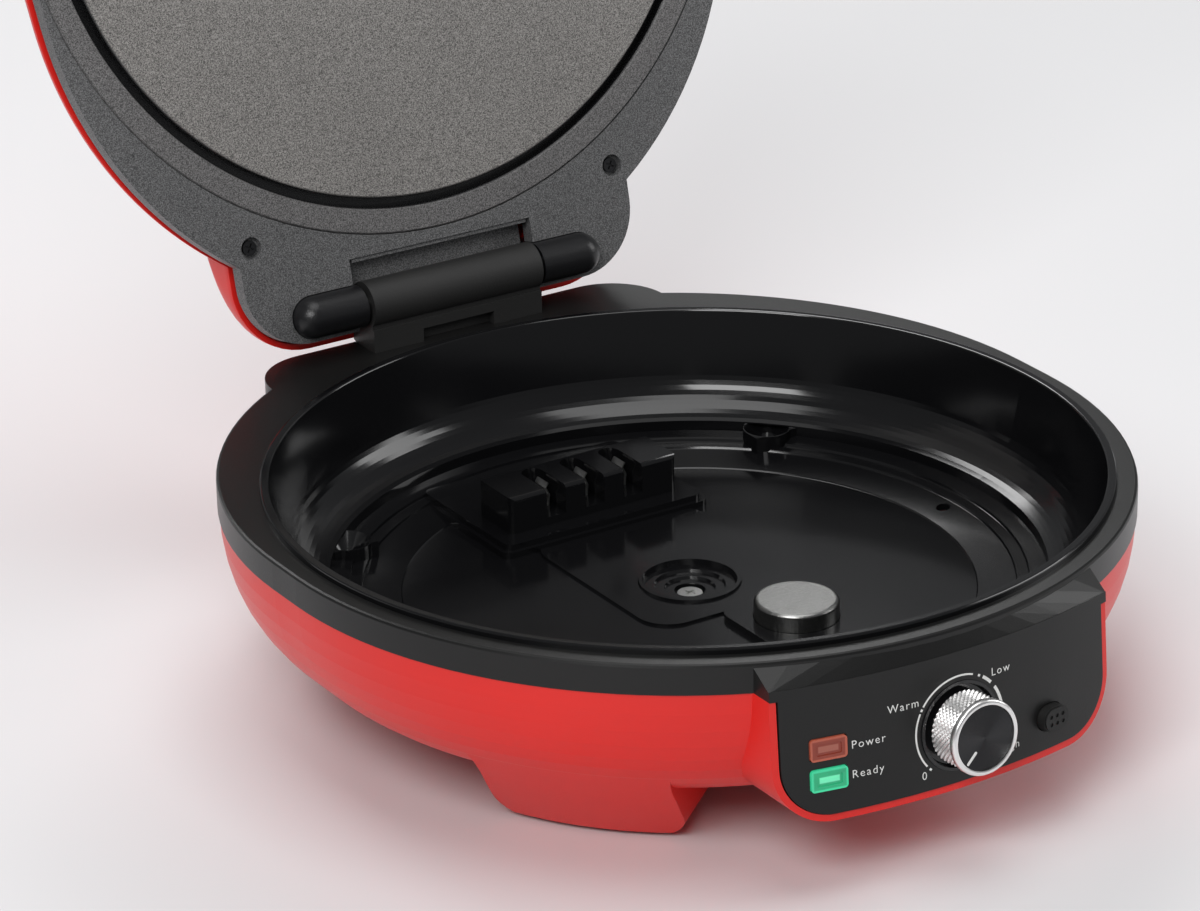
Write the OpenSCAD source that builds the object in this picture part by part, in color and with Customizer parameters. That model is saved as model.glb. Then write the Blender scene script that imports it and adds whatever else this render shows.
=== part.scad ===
// Electric pizza maker with its lid leaned open and its lower plate lifted out.
// Millimetres, +Z up. The origin is on the table, under the middle of the whole object as it stands.
// The panel faces -Y and the hinge is at +Y. Every shape is drawn around the basin's upright axis
// and then placed. Lid parts are drawn closed and swung open first.

/* [Body] */
// Radius of the round body at its rim
rim_r = 175; // [170:0.5:180]
// Height of the rim above the table
rim_h = 93; // [91:0.5:98]
// How far the rear half circle lies behind the basin's axis
rear_shift = 18; // [14:0.5:22]
// Height of the black band below the rim
band_h = 12; // [11:0.5:14]
// Depth of the red bowl below the rim
bowl_depth = 68; // [66:0.5:72]
// Wall of the red mouldings
shell_wall = 2.6; // [2.2:0.1:3]
// Wall of the black rim moulding
frame_wall = 2.5; // [2.2:0.1:2.8]
// Half width of the rear ears beside the hinge
ear_half = 94; // [92:0.5:96]
// Corner radius of the rear ears
ear_corner = 26; // [20:1:30]
// Rear edge of the ears
ear_y = 190; // [189:0.5:192]

/* [Legs] */
// Direction of each front leg from the side-to-side line
leg_angle = 40; // [38:1:42]
// Width of a front leg
leg_w = 75; // [70:1:78]
// Outer radius of a front leg at its foot
leg_foot_r = 130; // [126:1:134]
// Sideways place of a rear leg
rear_leg_x = 62; // [58:1:64]
// Width of a rear leg
rear_leg_w = 54; // [48:1:56]
// How far the rear legs stand behind the middle of the rear half circle
rear_foot_r = 150; // [147:1:152]
// How far a leg reaches inward from its outer edge
leg_depth = 26; // [22:1:30]
// Radius of a rubber foot
foot_r = 8; // [6:0.5:9]
// How far a rubber foot stands out of its leg
foot_proud = 1; // [0.6:0.1:1.2]

/* [Panel] */
// Half width of the black control fascia
fascia_half = 72.9; // [70:0.1:75]
// Depth of the fascia's lower edge below the rim
fascia_low = 59; // [57:0.5:61]
// Corner radius at the fascia's lower corners
fascia_corner = 20; // [15:1:24]
// Radius of the fascia's curve across its width
fascia_r = 280; // [260:5:300]
// How far the bend of the fascia stands in front of the basin's axis
fascia_front = 178; // [177.5:0.5:180]
// Depth of the bend below the rim
bend_drop = 8; // [6:0.5:9]
// Outward lean of the fascia below the bend, in degrees
fascia_lean = 4.4; // [3:0.1:6]
// Red border around the fascia
border = 3; // [2.6:0.1:4]
// Depth of the knob's axis below the rim
knob_drop = 37; // [35:0.5:38]
// Radius of the knob's face
knob_r = 14.65; // [13:0.05:15.5]
// How far the knob stands proud of the fascia
knob_proud = 16; // [14:0.5:18]
// Radius of the dished bezel behind the knob
bezel_r = 17.4; // [16.8:0.1:18.5]
// Sideways place of the lamp windows
lamp_x = -55; // [-57:0.5:-52]
// Depth of the middle between the two lamp windows
lamp_drop = 39; // [37:0.5:41]
// Distance between the two lamp windows
lamp_pitch = 12; // [11:0.5:14]
// Width of a lamp window
lens_w = 14.5; // [12:0.5:16]
// Height of a lamp window
lens_h = 8.5; // [7:0.5:9.5]
// Sideways place of the release button
button_x = 43; // [41:0.5:45]
// Depth of the release button below the rim
button_drop = 46.5; // [45:0.5:48]
// Width of the release button
button_w = 13; // [12:0.5:14]
// Height of the release button
button_h = 10; // [9:0.5:11]
// Travel of the release button
button_travel = 3; // [2:0.5:3]

/* [Basin] */
// Radius of the basin's mouth
mouth_r = 163; // [162.5:0.1:163.4]
// Height of the rounded bead above the rim
bead_h = 2.5; // [1.5:0.1:3]
// Wall of the glossy basin
basin_wall = 2.4; // [2:0.1:2.6]
// Depth of the basin floor below the rim
floor_drop = 48.6; // [47.6:0.1:49.4]
// Radius of the shallow circle on the floor
floor_r = 113; // [110:1:116]
// Half width of the raised pad
pad_half = 46.5; // [44:0.5:48]
// Front edge of the raised pad
pad_y = 61; // [60:0.5:63]
// Height of the raised pad above the floor
pad_h = 5; // [4:0.2:6]
// Half width of the terminal socket
socket_half = 39.6; // [36:0.2:42]
// Front face of the terminal socket
socket_y = 69.5; // [68:0.5:71]
// Depth of the terminal socket from front to back
socket_d = 25.5; // [24:0.5:28]
// Height of the terminal socket
socket_h = 15.6; // [14:0.2:17]
// Width of a slot in the socket
slot_w = 9; // [7:0.2:10]
// Distance between the slots
slot_pitch = 18.3; // [17:0.1:20]
// Sideways place of a screw well
well_x = 100.6; // [99:0.2:102]
// Distance of a screw well from the side-to-side line
well_y = 94.5; // [93:0.5:96]
// Radius of a screw well
well_r = 10; // [9.5:0.1:10.5]

/* [Sensor] */
// Sideways place of the sensor cup
sensor_x = 15; // [13:0.5:17]
// Distance of the sensor cup in front of the basin's axis
sensor_y = 52.5; // [50:0.5:55]
// Radius of the sensor cup
sensor_r = 16.7; // [15:0.1:18]
// Height of the sensor cup above the floor
sensor_h = 9.9; // [8:0.1:11]
// Travel of the sensor cup
sensor_travel = 3; // [2:0.5:4]

/* [Hinge] */
// Distance of the hinge axis behind the basin's axis
hinge_y = 182; // [181.5:0.1:182.5]
// Height of the hinge axis above the rim
hinge_h = 18.8; // [18:0.1:19.5]
// Angle between the closed lid and the lid as it is drawn
open_angle = 103; // [101:0.5:104]
// Half width of the hinge bracket
bracket_half = 40.5; // [38:0.5:42]
// Radius of the bracket's barrel
barrel_r = 10; // [9:0.1:10.4]
// Radius of the hinge pin
pin_r = 3; // [2.5:0.1:3.5]
// Radius of the lid's two knuckles
knuckle_r = 8.8; // [8:0.1:9]
// Length of a knuckle, round end included
knuckle_len = 30.7; // [27:0.1:32]

/* [Lid] */
// Height of the lid's flange above the hinge axis when the lid is closed
flange_lift = 1; // [0.8:0.1:1.4]
// Radius of the upper baking plate
plate_r = 165; // [163:0.5:165.5]
// How far the upper plate's centre lies in front of the basin's axis
plate_y = 7; // [6:0.5:8]
// Radius of the flange's rear curve
flange_r = 161; // [160:0.5:162]
// How far the flange's rear curve is centred behind the basin's axis
flange_y = 24.5; // [24:0.5:26]
// Half width of the lid's ears
lid_ear_half = 93; // [91:0.5:94]
// Rear edge of the lid's ears on the flange
lid_ear_y = 192.5; // [192:0.5:194]
// Corner radius of the lid's ears
lid_ear_corner = 28; // [24:1:30]
// Thickness of the flange slab
flange_t = 7; // [6:0.5:8]
// Distance of the red shell's lip behind the flange's face
lip_depth = 12.5; // [11.5:0.5:13.5]
// Height of the lid's dome above its lip
dome_h = 30; // [28:1:33]
// Outer radius of the plate's channel
channel_r = 153.3; // [152:0.1:154]
// Width of the plate's channel
channel_w = 4; // [3:0.2:5]
// Half width of the hinge window in the flange
window_half = 43.4; // [42.9:0.1:44.5]
// Front edge of the hinge window
window_y = 162.2; // [161.5:0.1:163]
// Sideways place of the flange screws
lid_screw_x = 86.7; // [85:0.1:88]
// Place of the flange screws behind the basin's axis
lid_screw_y = 148.5; // [147:0.5:150]
// Half width of the lid's grip
grip_half = 48; // [40:1:55]
// How far the grip stands out in front of the lid
grip_reach = 26; // [22:1:30]

/* [Fits] */
// Gap between fixed parts that fit into each other
fit_gap = 0.3; // [0.2:0.05:0.4]
// Gap around the moving sensor cup and release button
slide_gap = 0.35; // [0.3:0.05:0.45]
// Radial clearance of pins and shafts that turn
run_gap = 0.05; // [0.03:0.01:0.08]

/* [Hidden] */

$fn = 96;
eps = 0.01;
far = 400;

red = [0.86, 0.05, 0.05];
satin_black = [0.07, 0.07, 0.07];
gloss_black = [0.02, 0.02, 0.02];
speckled = [0.35, 0.35, 0.34];
steel = [0.75, 0.75, 0.77];

// Red bowl: the wall follows a rounded curve from under the band to a flat bottom
band_step = 0.6;
bowl_r = rim_r - band_step;
bottom_r = 126;
bowl_power = 2.15;
bowl_steps = 12;
tongue_h = 6;
tongue_w = 2;
bowl_low = rim_h - bowl_depth;
band_low = rim_h - band_h;

// Legs
leg_high = rim_h - 51;
leg_join_r = 162.2;
leg_top = leg_high + 12;
leg_flare = 4;
leg_flare_h = 14;
leg_corner = 12;
leg_edge = 1.5;
foot_recess = 1;
foot_set = leg_depth / 2 + 1;
leg_split = bowl_low;
leg_boss_h = 13;
leg_grip = 11;
leg_screw_r = 1.7;
leg_head_r = 3.2;
leg_head_h = 2.1;

// Distance of the basin's axis in front of the origin
frame_y = 44.5;

// Fascia: a cone around an upright axis, so that its front leans outward
fascia_cy = fascia_r - fascia_front;
fascia_z0 = rim_h - fascia_low;
bend_z = rim_h - bend_drop;
housing_half = fascia_half + border;
housing_z0 = fascia_z0 - border;
housing_back = 118;
housing_set = 0.6;
knob_z = rim_h - knob_drop;
lamp_z = rim_h - lamp_drop;
button_z = rim_h - button_drop;
bezel_hole = bezel_r + 0.1;
bezel_depth = 3.6;
bezel_wall = 1.2;
bushing_r = 4.9;
shaft_r = 3;
shaft_flat = 0.8;
therm_front = -frame_wall - 2;
therm_back = -17;
therm_r = 15;
nut_r = 7;
nut_z = bezel_wall - bezel_depth;
nut_h = 3;
knob_base = 0.8;
knob_cavity_r = 8.6;
knob_cavity_h = 4;
insert_r = 12.6;
insert_t = 1.6;

// Latch: the button's stem pushes the lower arm of a lever and its hook leaves the basin
pivot_up = 17;
pivot_in = 11;
latch_pin_r = 1.5;
lever_w = 9;
lever_t = 3;
ear_gap = 0.3;
latch_ear_t = 3;
hook_up = 37;
hook_t = 3;
hook_reach = 3;
relief_skin = 5;
stem_tip = 0.3;
lever_face = -pivot_in + lever_t / 2;
button_flange_w = button_w + 3;
button_flange_h = button_h + 3;
button_flange_t = 1.5;
button_rest = 1;
button_proud = button_travel + button_rest;
pusher_r = 1.2;
button_rear = -frame_wall - 1.2;

// Basin: a steep wall, an elliptical curve, two small ledges and a flat floor
floor_z = rim_h - floor_drop;
floor_low = floor_z - basin_wall;
bead_w = 3.7;
curve_r = 134;
curve_drop = 21;
curve_a = 23;
curve_b = 18.8;
curve_from = 11;
curve_to = 72;
curve_steps = 10;
step_r = curve_r + curve_a * cos(curve_to) - 0.4;
step_h = 5.6;
ledge_r1 = 133.4;
ledge_r2 = 128.4;
pad_step = 2.4;
pad_back = 128;
spine_h = 1;
spine_left = 35;
spine_right = 41;
spine_front = 31;
platform_h = 2.5;
platform_left = 8;
platform_back = 30;
boss_r = 5.5;
well_top = rim_h - 39.5;
well_sill = well_top - 6.2;
well_front = 7.4;
well_hole = 3.6;
boss_low = rim_h - 50;
screw_r = 1.9;
recess_r = 19.5;
recess_drop = 5.4;
recess_hole = 6.2;
recess_wall = 2;
recess_lip = 2;
latch_slot_w = lever_w + 2;

// Sensor
sensor_hole = sensor_r + slide_gap;
sensor_wall = 0.9;
sensor_flange_r = sensor_r + 2.3;
sensor_flange_t = 1;
holder_r = sensor_flange_r + 1.2;
holder_wall = 1.2;
spring_room = 8.1;
holder_low = floor_low - fit_gap - sensor_flange_t - sensor_travel - spring_room;
holder_rim = 3.5;

// Hinge and lid
hinge_z = rim_h + hinge_h;
flange_z = hinge_z + flange_lift;
platform_low = rim_h - frame_wall;
bracket_front = hinge_y - 8;
bracket_step = 9.8;
notch_half = 17;
notch_h = 5.8;
knuckle_gap = 1.9;
knuckle_x = bracket_half + knuckle_gap;
lid_wall = 2.5;
lip_z = flange_z + lip_depth;
shell_ear_half = lid_ear_half - 0.5;
shell_ear_y = lid_ear_y + 4.5;
shell_ear_corner = lid_ear_corner + 3;
ear_crown = 21.5;
ear_crown_back = 47;
skirt_inset = lid_wall + 2.2;
skirt_top = flange_z + 16;
plate_t = 3.2;
channel_d = 5;
plate_rise = 2;
plate_gap = 0.35;
heater_r = 112;
heater_tube = 3.3;
stop_gap = 0.3;
bracket_back = hinge_y + (shell_ear_y - hinge_y) * cos(open_angle)
    + (lip_z - hinge_z) * sin(open_angle) - stop_gap;
bracket_screw_x = 28;
pin_reach = knuckle_x + 16;
seat_gap = 0.02;
skirt_t = 2;
plate_set = 1;
lid_boss_r = 4;
lid_screw_r = 1.88;
lid_screw_len = 20;
screw_set = 3;
grip_screw_a = 9;
grip_screw_r = 1.5;
grip_screw_z = flange_z + flange_t + 3;
grip_h = 14;
gland_x = 60;
gland_z = rim_h - 26;
gland_r = 6;
gland_bore = 3.4;
gland_rim = 1.4;
drain_x = 123.2;
socket_low = floor_z + pad_h;

// Height of the hook, and the place of its tip a little inside the basin's wall
hook_z = button_z + hook_up;
hook_tip = fascia_cy - face_r(button_z) - hook_reach - 1.4
    + sqrt(pow(wall_r(hook_z), 2) - pow(button_x * 0.93, 2));

function face_r(z) = fascia_r + (bend_z - z) * tan(fascia_lean);
function face_y(x, z) = fascia_cy - sqrt(pow(face_r(z), 2) - pow(x, 2));
function arc(cx, cy, r, from, to, steps) =
    [for (i = [0:steps]) let (a = from + (to - from) * i / steps) [cx + r * cos(a), cy + r * sin(a)]];

// Outline from the bottom of the bowl up to the band, as radius and height
function bowl_curve(inset) = [
    for (i = [bowl_steps:-1:0])
    let (a = 90 * i / bowl_steps, k = 2 / bowl_power)
    [
        bottom_r + (bowl_r - inset - bottom_r) * pow(cos(a), k),
        band_low - (band_low - bowl_low - inset) * pow(sin(a), k)
    ]
];

// Radius of the basin's inner wall at a height between the bead and the curve
function wall_r(z) =
    let (
        top = [mouth_r, rim_h],
        low = [curve_r + curve_a * cos(curve_from), rim_h - curve_drop - curve_b * sin(curve_from)]
    )
    low[0] + (top[0] - low[0]) * (z - low[1]) / (top[1] - low[1]);

function basin_curve(grow, to) = [
    for (i = [0:curve_steps])
    let (a = curve_from + (to - curve_from) * i / curve_steps)
    [curve_r + (curve_a + grow) * cos(a), rim_h - curve_drop - (curve_b + grow) * sin(a)]
];

// Direction of the tangent between the plate's circle and the flange's rear curve
tangent_a = asin((plate_r - flange_r) / (plate_y + flange_y));

// A revolved profile cut in two halves with a straight stretch between them
module stadium(length) {
    rotate([0, 0, 180]) rotate_extrude(angle = 180) children();
    translate([0, length, 0]) rotate_extrude(angle = 180) children();
    translate([0, length, 0]) rotate([90, 0, 0]) linear_extrude(length) {
        children();
        mirror([1, 0]) children();
    }
}

module rounded_rect(w, h, r) {
    square([w - 2 * r, h], center = true);
    square([w, h - 2 * r], center = true);
    for (sx = [-1, 1], sy = [-1, 1]) {
        translate([sx * (w / 2 - r), sy * (h / 2 - r)]) circle(r);
    }
}

module oval(w, h) {
    r = h / 2;
    square([w - h, h], center = true);
    for (s = [-1, 1]) translate([s * (w / 2 - r), 0]) circle(r);
}

// Flat outline of the rear ears, from the middle of the body to their rear edge
module ear_outline(half, back, corner, front) {
    translate([-half, front]) square([2 * half, back - corner - front]);
    translate([corner - half, front]) square([2 * (half - corner), back - front]);
    for (s = [-1, 1]) translate([s * (half - corner), back - corner]) circle(corner);
}

// Lid seen from above: the plate's circle, the flange's curve, their tangents and the ears
module lid_outline(grow) {
    front = [(plate_r + grow) * cos(tangent_a), (plate_r + grow) * sin(tangent_a) - plate_y];
    rear = [(flange_r + grow) * cos(tangent_a), (flange_r + grow) * sin(tangent_a) + flange_y];
    translate([0, -plate_y]) circle(plate_r + grow, $fn = 180);
    translate([0, flange_y]) circle(flange_r + grow, $fn = 180);
    polygon([front, rear, [-rear[0], rear[1]], [-front[0], front[1]]]);
    ear_outline(lid_ear_half + grow, lid_ear_y + grow, lid_ear_corner + grow, 100);
}

// Front outline of the fascia and its housing, seen from -Y
module panel_outline(half, low, corner, top) {
    translate([-half, low + corner]) square([2 * half, top - low - corner]);
    translate([corner - half, low]) square([2 * (half - corner), top - low]);
    for (s = [-1, 1]) translate([s * (half - corner), low + corner]) circle(corner);
}

module panel_prism(half, low, corner, top, back) {
    translate([0, -back, 0]) rotate([90, 0, 0]) linear_extrude(far) {
        panel_outline(half, low, corner, top);
    }
}

// Everything behind the fascia's leaning front, moved back by set
module behind_face(set, low, top) {
    translate([0, fascia_cy, low]) {
        cylinder(h = top - low, r1 = face_r(low) - set, r2 = face_r(top) - set, $fn = 180);
    }
}

// Places children on the fascia with their own +Z straight out of its surface
module on_face(x, z) {
    translate([x, face_y(x, z), z]) {
        rotate([0, 0, asin(x / face_r(z))]) rotate([90 - fascia_lean, 0, 0]) children();
    }
}

// Moves a finished piece from the basin's axis to its place in the frame
module placed() {
    translate([0, -frame_y, 0]) children();
}

module swung_open() {
    translate([0, hinge_y, hinge_z]) rotate([-open_angle, 0, 0]) {
        translate([0, -hinge_y, -hinge_z]) children();
    }
}

module spring(r, wire, low, high, turns) {
    steps = 8 * turns;
    sides = 6;
    run = high - low - 2 * wire;
    points = [
        for (i = [0:steps], j = [0:sides - 1])
        let (a = 45 * i, b = 360 * j / sides, q = r + wire * cos(b))
        [q * cos(a), q * sin(a), low + wire + run * i / steps + wire * sin(b)]
    ];
    faces = concat(
        [[for (j = [0:sides - 1]) j]],
        [
            for (i = [0:steps - 1], j = [0:sides - 1])
            let (a = i * sides + j, b = i * sides + (j + 1) % sides)
            [a, a + sides, b + sides, b]
        ],
        [[for (j = [sides - 1:-1:0]) steps * sides + j]]
    );
    polyhedron(points, faces, convexity = 8);
}

module screw(head_r, head_h, r, length) {
    cylinder(h = head_h, r1 = r, r2 = head_r);
    translate([0, 0, head_h]) difference() {
        cylinder(h = 0.6, r = head_r);
        for (a = [0, 90]) rotate([0, 0, a]) {
            translate([-head_r * 0.6, -head_r * 0.14, 0]) cube([head_r * 1.2, head_r * 0.28, 1]);
        }
    }
    translate([0, 0, -length]) cylinder(h = length + eps, r = r);
}

/* Base */

module bowl_solid(inset) {
    low = bowl_low + inset;
    top = inset > 0 ? rim_h : band_low;
    profile = concat([[0, low]], bowl_curve(inset), [[bowl_r - inset, top], [0, top]]);
    stadium(rear_shift) polygon(profile);
    intersection() {
        linear_extrude(top) ear_outline(ear_half - band_step - inset, ear_y - band_step - inset,
            ear_corner - band_step - inset, 0);
        translate([-ear_half, 0, 0]) rotate([90, 0, 90]) linear_extrude(2 * ear_half) {
            translate([rear_shift, 0]) polygon(concat(
                [[0, low]], bowl_curve(inset), [[bowl_r - inset, top], [0, top]]));
        }
    }
}

module housing_solid(inset) {
    intersection() {
        panel_prism(housing_half - inset, housing_z0 + inset, fascia_corner + border - inset,
            band_low, housing_back);
        behind_face(housing_set, housing_z0 - 1, rim_h);
    }
}

// Front view of a leg: a block with round lower corners, whose flanks flare out into the bowl
module leg_outline(half_w, inset) {
    foot = half_w - inset;
    low = foot_proud + inset;
    flare = [
        for (i = [0:6])
        let (a = 90 * i / 6)
        [foot + leg_flare * (1 - cos(a)), leg_high - leg_flare_h + leg_flare_h * sin(a)]
    ];
    top = [foot + 2 * leg_flare, leg_top];
    half = concat(arc(foot - leg_corner, low + leg_corner, leg_corner, -90, 0, 6), flare, [top]);
    polygon(concat(half, [for (i = [len(half) - 1:-1:0]) [-half[i][0], half[i][1]]]));
}

// A leg along +X: its outer face runs straight on from the bowl's curve down to the foot
module leg(foot_r, half_w, inset) {
    inner = foot_r - leg_depth + inset;
    ring = [
        [inner, foot_proud], [foot_r - leg_edge - inset, foot_proud],
        [foot_r + leg_edge * 0.6 - inset, foot_proud + leg_edge],
        [leg_join_r - inset, leg_high], [leg_join_r - inset, leg_top], [inner, leg_top]
    ];
    intersection() {
        rotate([90, 0, 90]) linear_extrude(rim_r) leg_outline(half_w, inset);
        rotate_extrude() polygon(ring);
    }
}

module at_front_legs() {
    for (a = [180 + leg_angle, 360 - leg_angle]) rotate([0, 0, a]) children();
}

module at_rear_legs() {
    for (x = [-rear_leg_x, rear_leg_x]) translate([x, rear_shift, 0]) rotate([0, 0, 90]) children();
}

module leg_solids(inset) {
    edge = band_step + inset;
    at_front_legs() leg(leg_foot_r, leg_w / 2, inset);
    intersection() {
        at_rear_legs() leg(rear_foot_r, rear_leg_w / 2, inset);
        linear_extrude(rim_h) ear_outline(ear_half - edge, ear_y - edge, ear_corner - edge, 0);
    }
}

module at_feet() {
    at_front_legs() translate([leg_foot_r - foot_set, 0, 0]) children();
    at_rear_legs() translate([rear_foot_r - foot_set, 0, 0]) children();
}

// Red bowl with the panel housing and the pads that the legs are screwed to
module base_shell() {
    color(red) placed() difference() {
        union() {
            difference() {
                union() {
                    bowl_solid(0);
                    housing_solid(0);
                    leg_pads();
                    tongue();
                }
                bowl_solid(shell_wall);
                housing_solid_open();
            }
            intersection() {
                union() {
                    bowl_solid(0);
                    leg_pads();
                }
                union() {
                    at_wells() cylinder(h = boss_low - fit_gap, r = boss_r);
                    at_feet() cylinder(h = leg_split + leg_boss_h, r = boss_r);
                }
            }
        }
        at_wells() translate([0, 0, boss_low - 14]) cylinder(h = 20, r = screw_r);
        at_feet() cylinder(h = leg_split + leg_grip, r = leg_screw_r + seat_gap);
        translate([gland_x, ear_y, gland_z]) rotate([90, 0, 0]) {
            translate([0, 0, -20]) cylinder(h = 60, r = gland_r);
        }
        vents();
    }
}

// Flat pads under the bowl, shaped like the upper end of the legs
module leg_pads() {
    intersection() {
        leg_solids(0);
        translate([0, 0, leg_split]) linear_extrude(far) square(far + rim_r, center = true);
    }
}

// Four hollow legs, open to the pads, each with a post around its screw
module legs() {
    foot_top = foot_proud + foot_recess;
    color(red) placed() difference() {
        intersection() {
            leg_solids(0);
            linear_extrude(leg_split) square(far + rim_r, center = true);
        }
        difference() {
            intersection() {
                leg_solids(shell_wall);
                translate([0, 0, foot_top + shell_wall]) linear_extrude(far) {
                    square(far + rim_r, center = true);
                }
            }
            at_feet() cylinder(h = far, r = boss_r);
        }
        at_feet() {
            translate([0, 0, -1]) cylinder(h = foot_top + 1, r = foot_r + fit_gap);
            cylinder(h = foot_top + leg_head_h + fit_gap, r = leg_head_r + fit_gap);
            cylinder(h = far, r = leg_screw_r + fit_gap);
        }
    }
}

module leg_screws() {
    low = foot_proud + foot_recess + fit_gap;
    color(steel) placed() at_feet() translate([0, 0, low]) {
        cylinder(h = leg_head_h, r = leg_head_r);
        cylinder(h = leg_split + leg_grip - low - 1, r = leg_screw_r);
    }
}

module vents() {
    for (x = [-32:16:32]) translate([x, 30, bowl_low - 1]) {
        linear_extrude(shell_wall + 2) rotate([0, 0, 90]) oval(40, 3);
    }
}

// The hollow of the panel housing, open to the front for the fascia
module housing_solid_open() {
    panel_prism(housing_half - shell_wall, housing_z0 + shell_wall,
        fascia_corner + border - shell_wall, rim_h, housing_back + 10);
}

// Raised edge of the red shell that locates the black band
module tongue() {
    stadium(rear_shift) {
        translate([rim_r - frame_wall - fit_gap - tongue_w, band_low - 3]) {
            square([tongue_w, tongue_h + 3]);
        }
    }
}

module at_wells() {
    for (x = [-well_x, well_x], y = [-well_y, well_y]) translate([x, y, 0]) children();
}

module rubber_feet() {
    color(satin_black) placed() at_feet() cylinder(h = foot_proud + foot_recess, r = foot_r);
}

// Black rim band with the rear platform, and the fascia that grows out of it
module upper_frame() {
    edge = 1.2;
    ring = [
        [rim_r - frame_wall, band_low], [rim_r, band_low], [rim_r, rim_h - edge],
        [rim_r - edge * 0.3, rim_h - edge * 0.3], [rim_r - edge, rim_h],
        [mouth_r + 1, rim_h], [mouth_r + 1, platform_low], [rim_r - frame_wall, platform_low]
    ];
    color(satin_black) placed() difference() {
        union() {
            stadium(rear_shift) polygon(ring);
            translate([0, rear_shift, platform_low]) cylinder(h = frame_wall, r = mouth_r + 2);
            difference() {
                translate([0, 0, band_low]) linear_extrude(band_h) {
                    ear_outline(ear_half, ear_y, ear_corner, 120);
                }
                translate([0, 0, band_low - 1]) linear_extrude(platform_low - band_low + 1) {
                    ear_outline(ear_half - frame_wall, ear_y - frame_wall,
                        ear_corner - frame_wall, 110);
                }
                translate([0, 0, band_low - 1]) {
                    cylinder(h = platform_low - band_low + 1, r = rim_r - frame_wall);
                    translate([0, rear_shift, 0]) {
                        cylinder(h = platform_low - band_low + 1, r = rim_r - frame_wall);
                    }
                }
            }
            fascia_and_flare();
            latch_ears();
        }
        translate([0, 0, platform_low - 1]) cylinder(h = 10, r = mouth_r + basin_wall + 0.6);
        on_face(0, knob_z) translate([0, 0, -12]) cylinder(h = 20, r = bezel_hole);
        on_face(lamp_x, lamp_z) for (s = [-1, 1]) {
            translate([0, s * lamp_pitch / 2, -9]) linear_extrude(20) {
                rounded_rect(lens_w + 2 * fit_gap, lens_h + 2 * fit_gap, 1.5);
            }
        }
        on_face(button_x, button_z) {
            translate([0, 0, -9]) linear_extrude(20) {
                oval(button_w + 2 * slide_gap, button_h + 2 * slide_gap);
            }
            latch_pin_bore(latch_pin_r);
            latch_relief();
        }
        for (x = [-bracket_screw_x, bracket_screw_x]) translate([x, hinge_y, rim_h - 10]) {
            cylinder(h = 20, r = 2.2);
        }
    }
}

// The fascia, and the solid wedge between the round rim and the shallower curve of its bend
module fascia_and_flare() {
    sink = 0.3;
    top_r = rim_r - 0.8;
    rim_arc = [for (i = [0:12]) let (x = housing_half * (i / 6 - 1)) [x, -sqrt(pow(top_r, 2) - x * x)]];
    bend_arc = [for (i = [0:12]) let (x = housing_half * (i / 6 - 1)) [x, face_y(x, bend_z) + 0.1]];
    back = [[housing_half, -150], [-housing_half, -150]];
    difference() {
        union() {
            hull() {
                translate([0, 0, rim_h - 1.6]) linear_extrude(0.2) polygon(concat(rim_arc, back));
                translate([0, 0, bend_z - sink]) linear_extrude(eps) polygon(concat(bend_arc, back));
            }
            intersection() {
                translate([0, -120, 0]) rotate([90, 0, 0]) linear_extrude(far) {
                    panel_outline(fascia_half, fascia_z0, fascia_corner, bend_z);
                    translate([-housing_half, band_low]) {
                        square([2 * housing_half, bend_z - band_low]);
                    }
                }
                behind_face(0, fascia_z0 - 1, bend_z);
            }
        }
        behind_face(frame_wall, fascia_z0 - 2, band_low);
        translate([0, 0, band_low - 1]) cylinder(h = band_h + 2, r = rim_r - frame_wall / 2);
    }
}

// Two ears behind the fascia that carry the latch lever's pin
module latch_ears() {
    on_face(button_x, button_z) for (s = [-1, 1]) {
        x0 = s > 0 ? lever_w / 2 + ear_gap : -lever_w / 2 - ear_gap - latch_ear_t;
        translate([x0, pivot_up - 5, -pivot_in - 5]) cube([latch_ear_t, 10, pivot_in + 3.5]);
    }
}

// Pocket in the band that the lever's upper end swings into
module latch_relief() {
    low = band_low - button_z - 2;
    translate([-latch_slot_w / 2, low, -pivot_in]) {
        cube([latch_slot_w, hook_up + hook_t / 2 + 1 - low, pivot_in - relief_skin]);
    }
}

module latch_pin_bore(r) {
    translate([-20, pivot_up, -pivot_in]) rotate([0, 90, 0]) cylinder(h = 40, r = r);
}

/* Basin */

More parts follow.
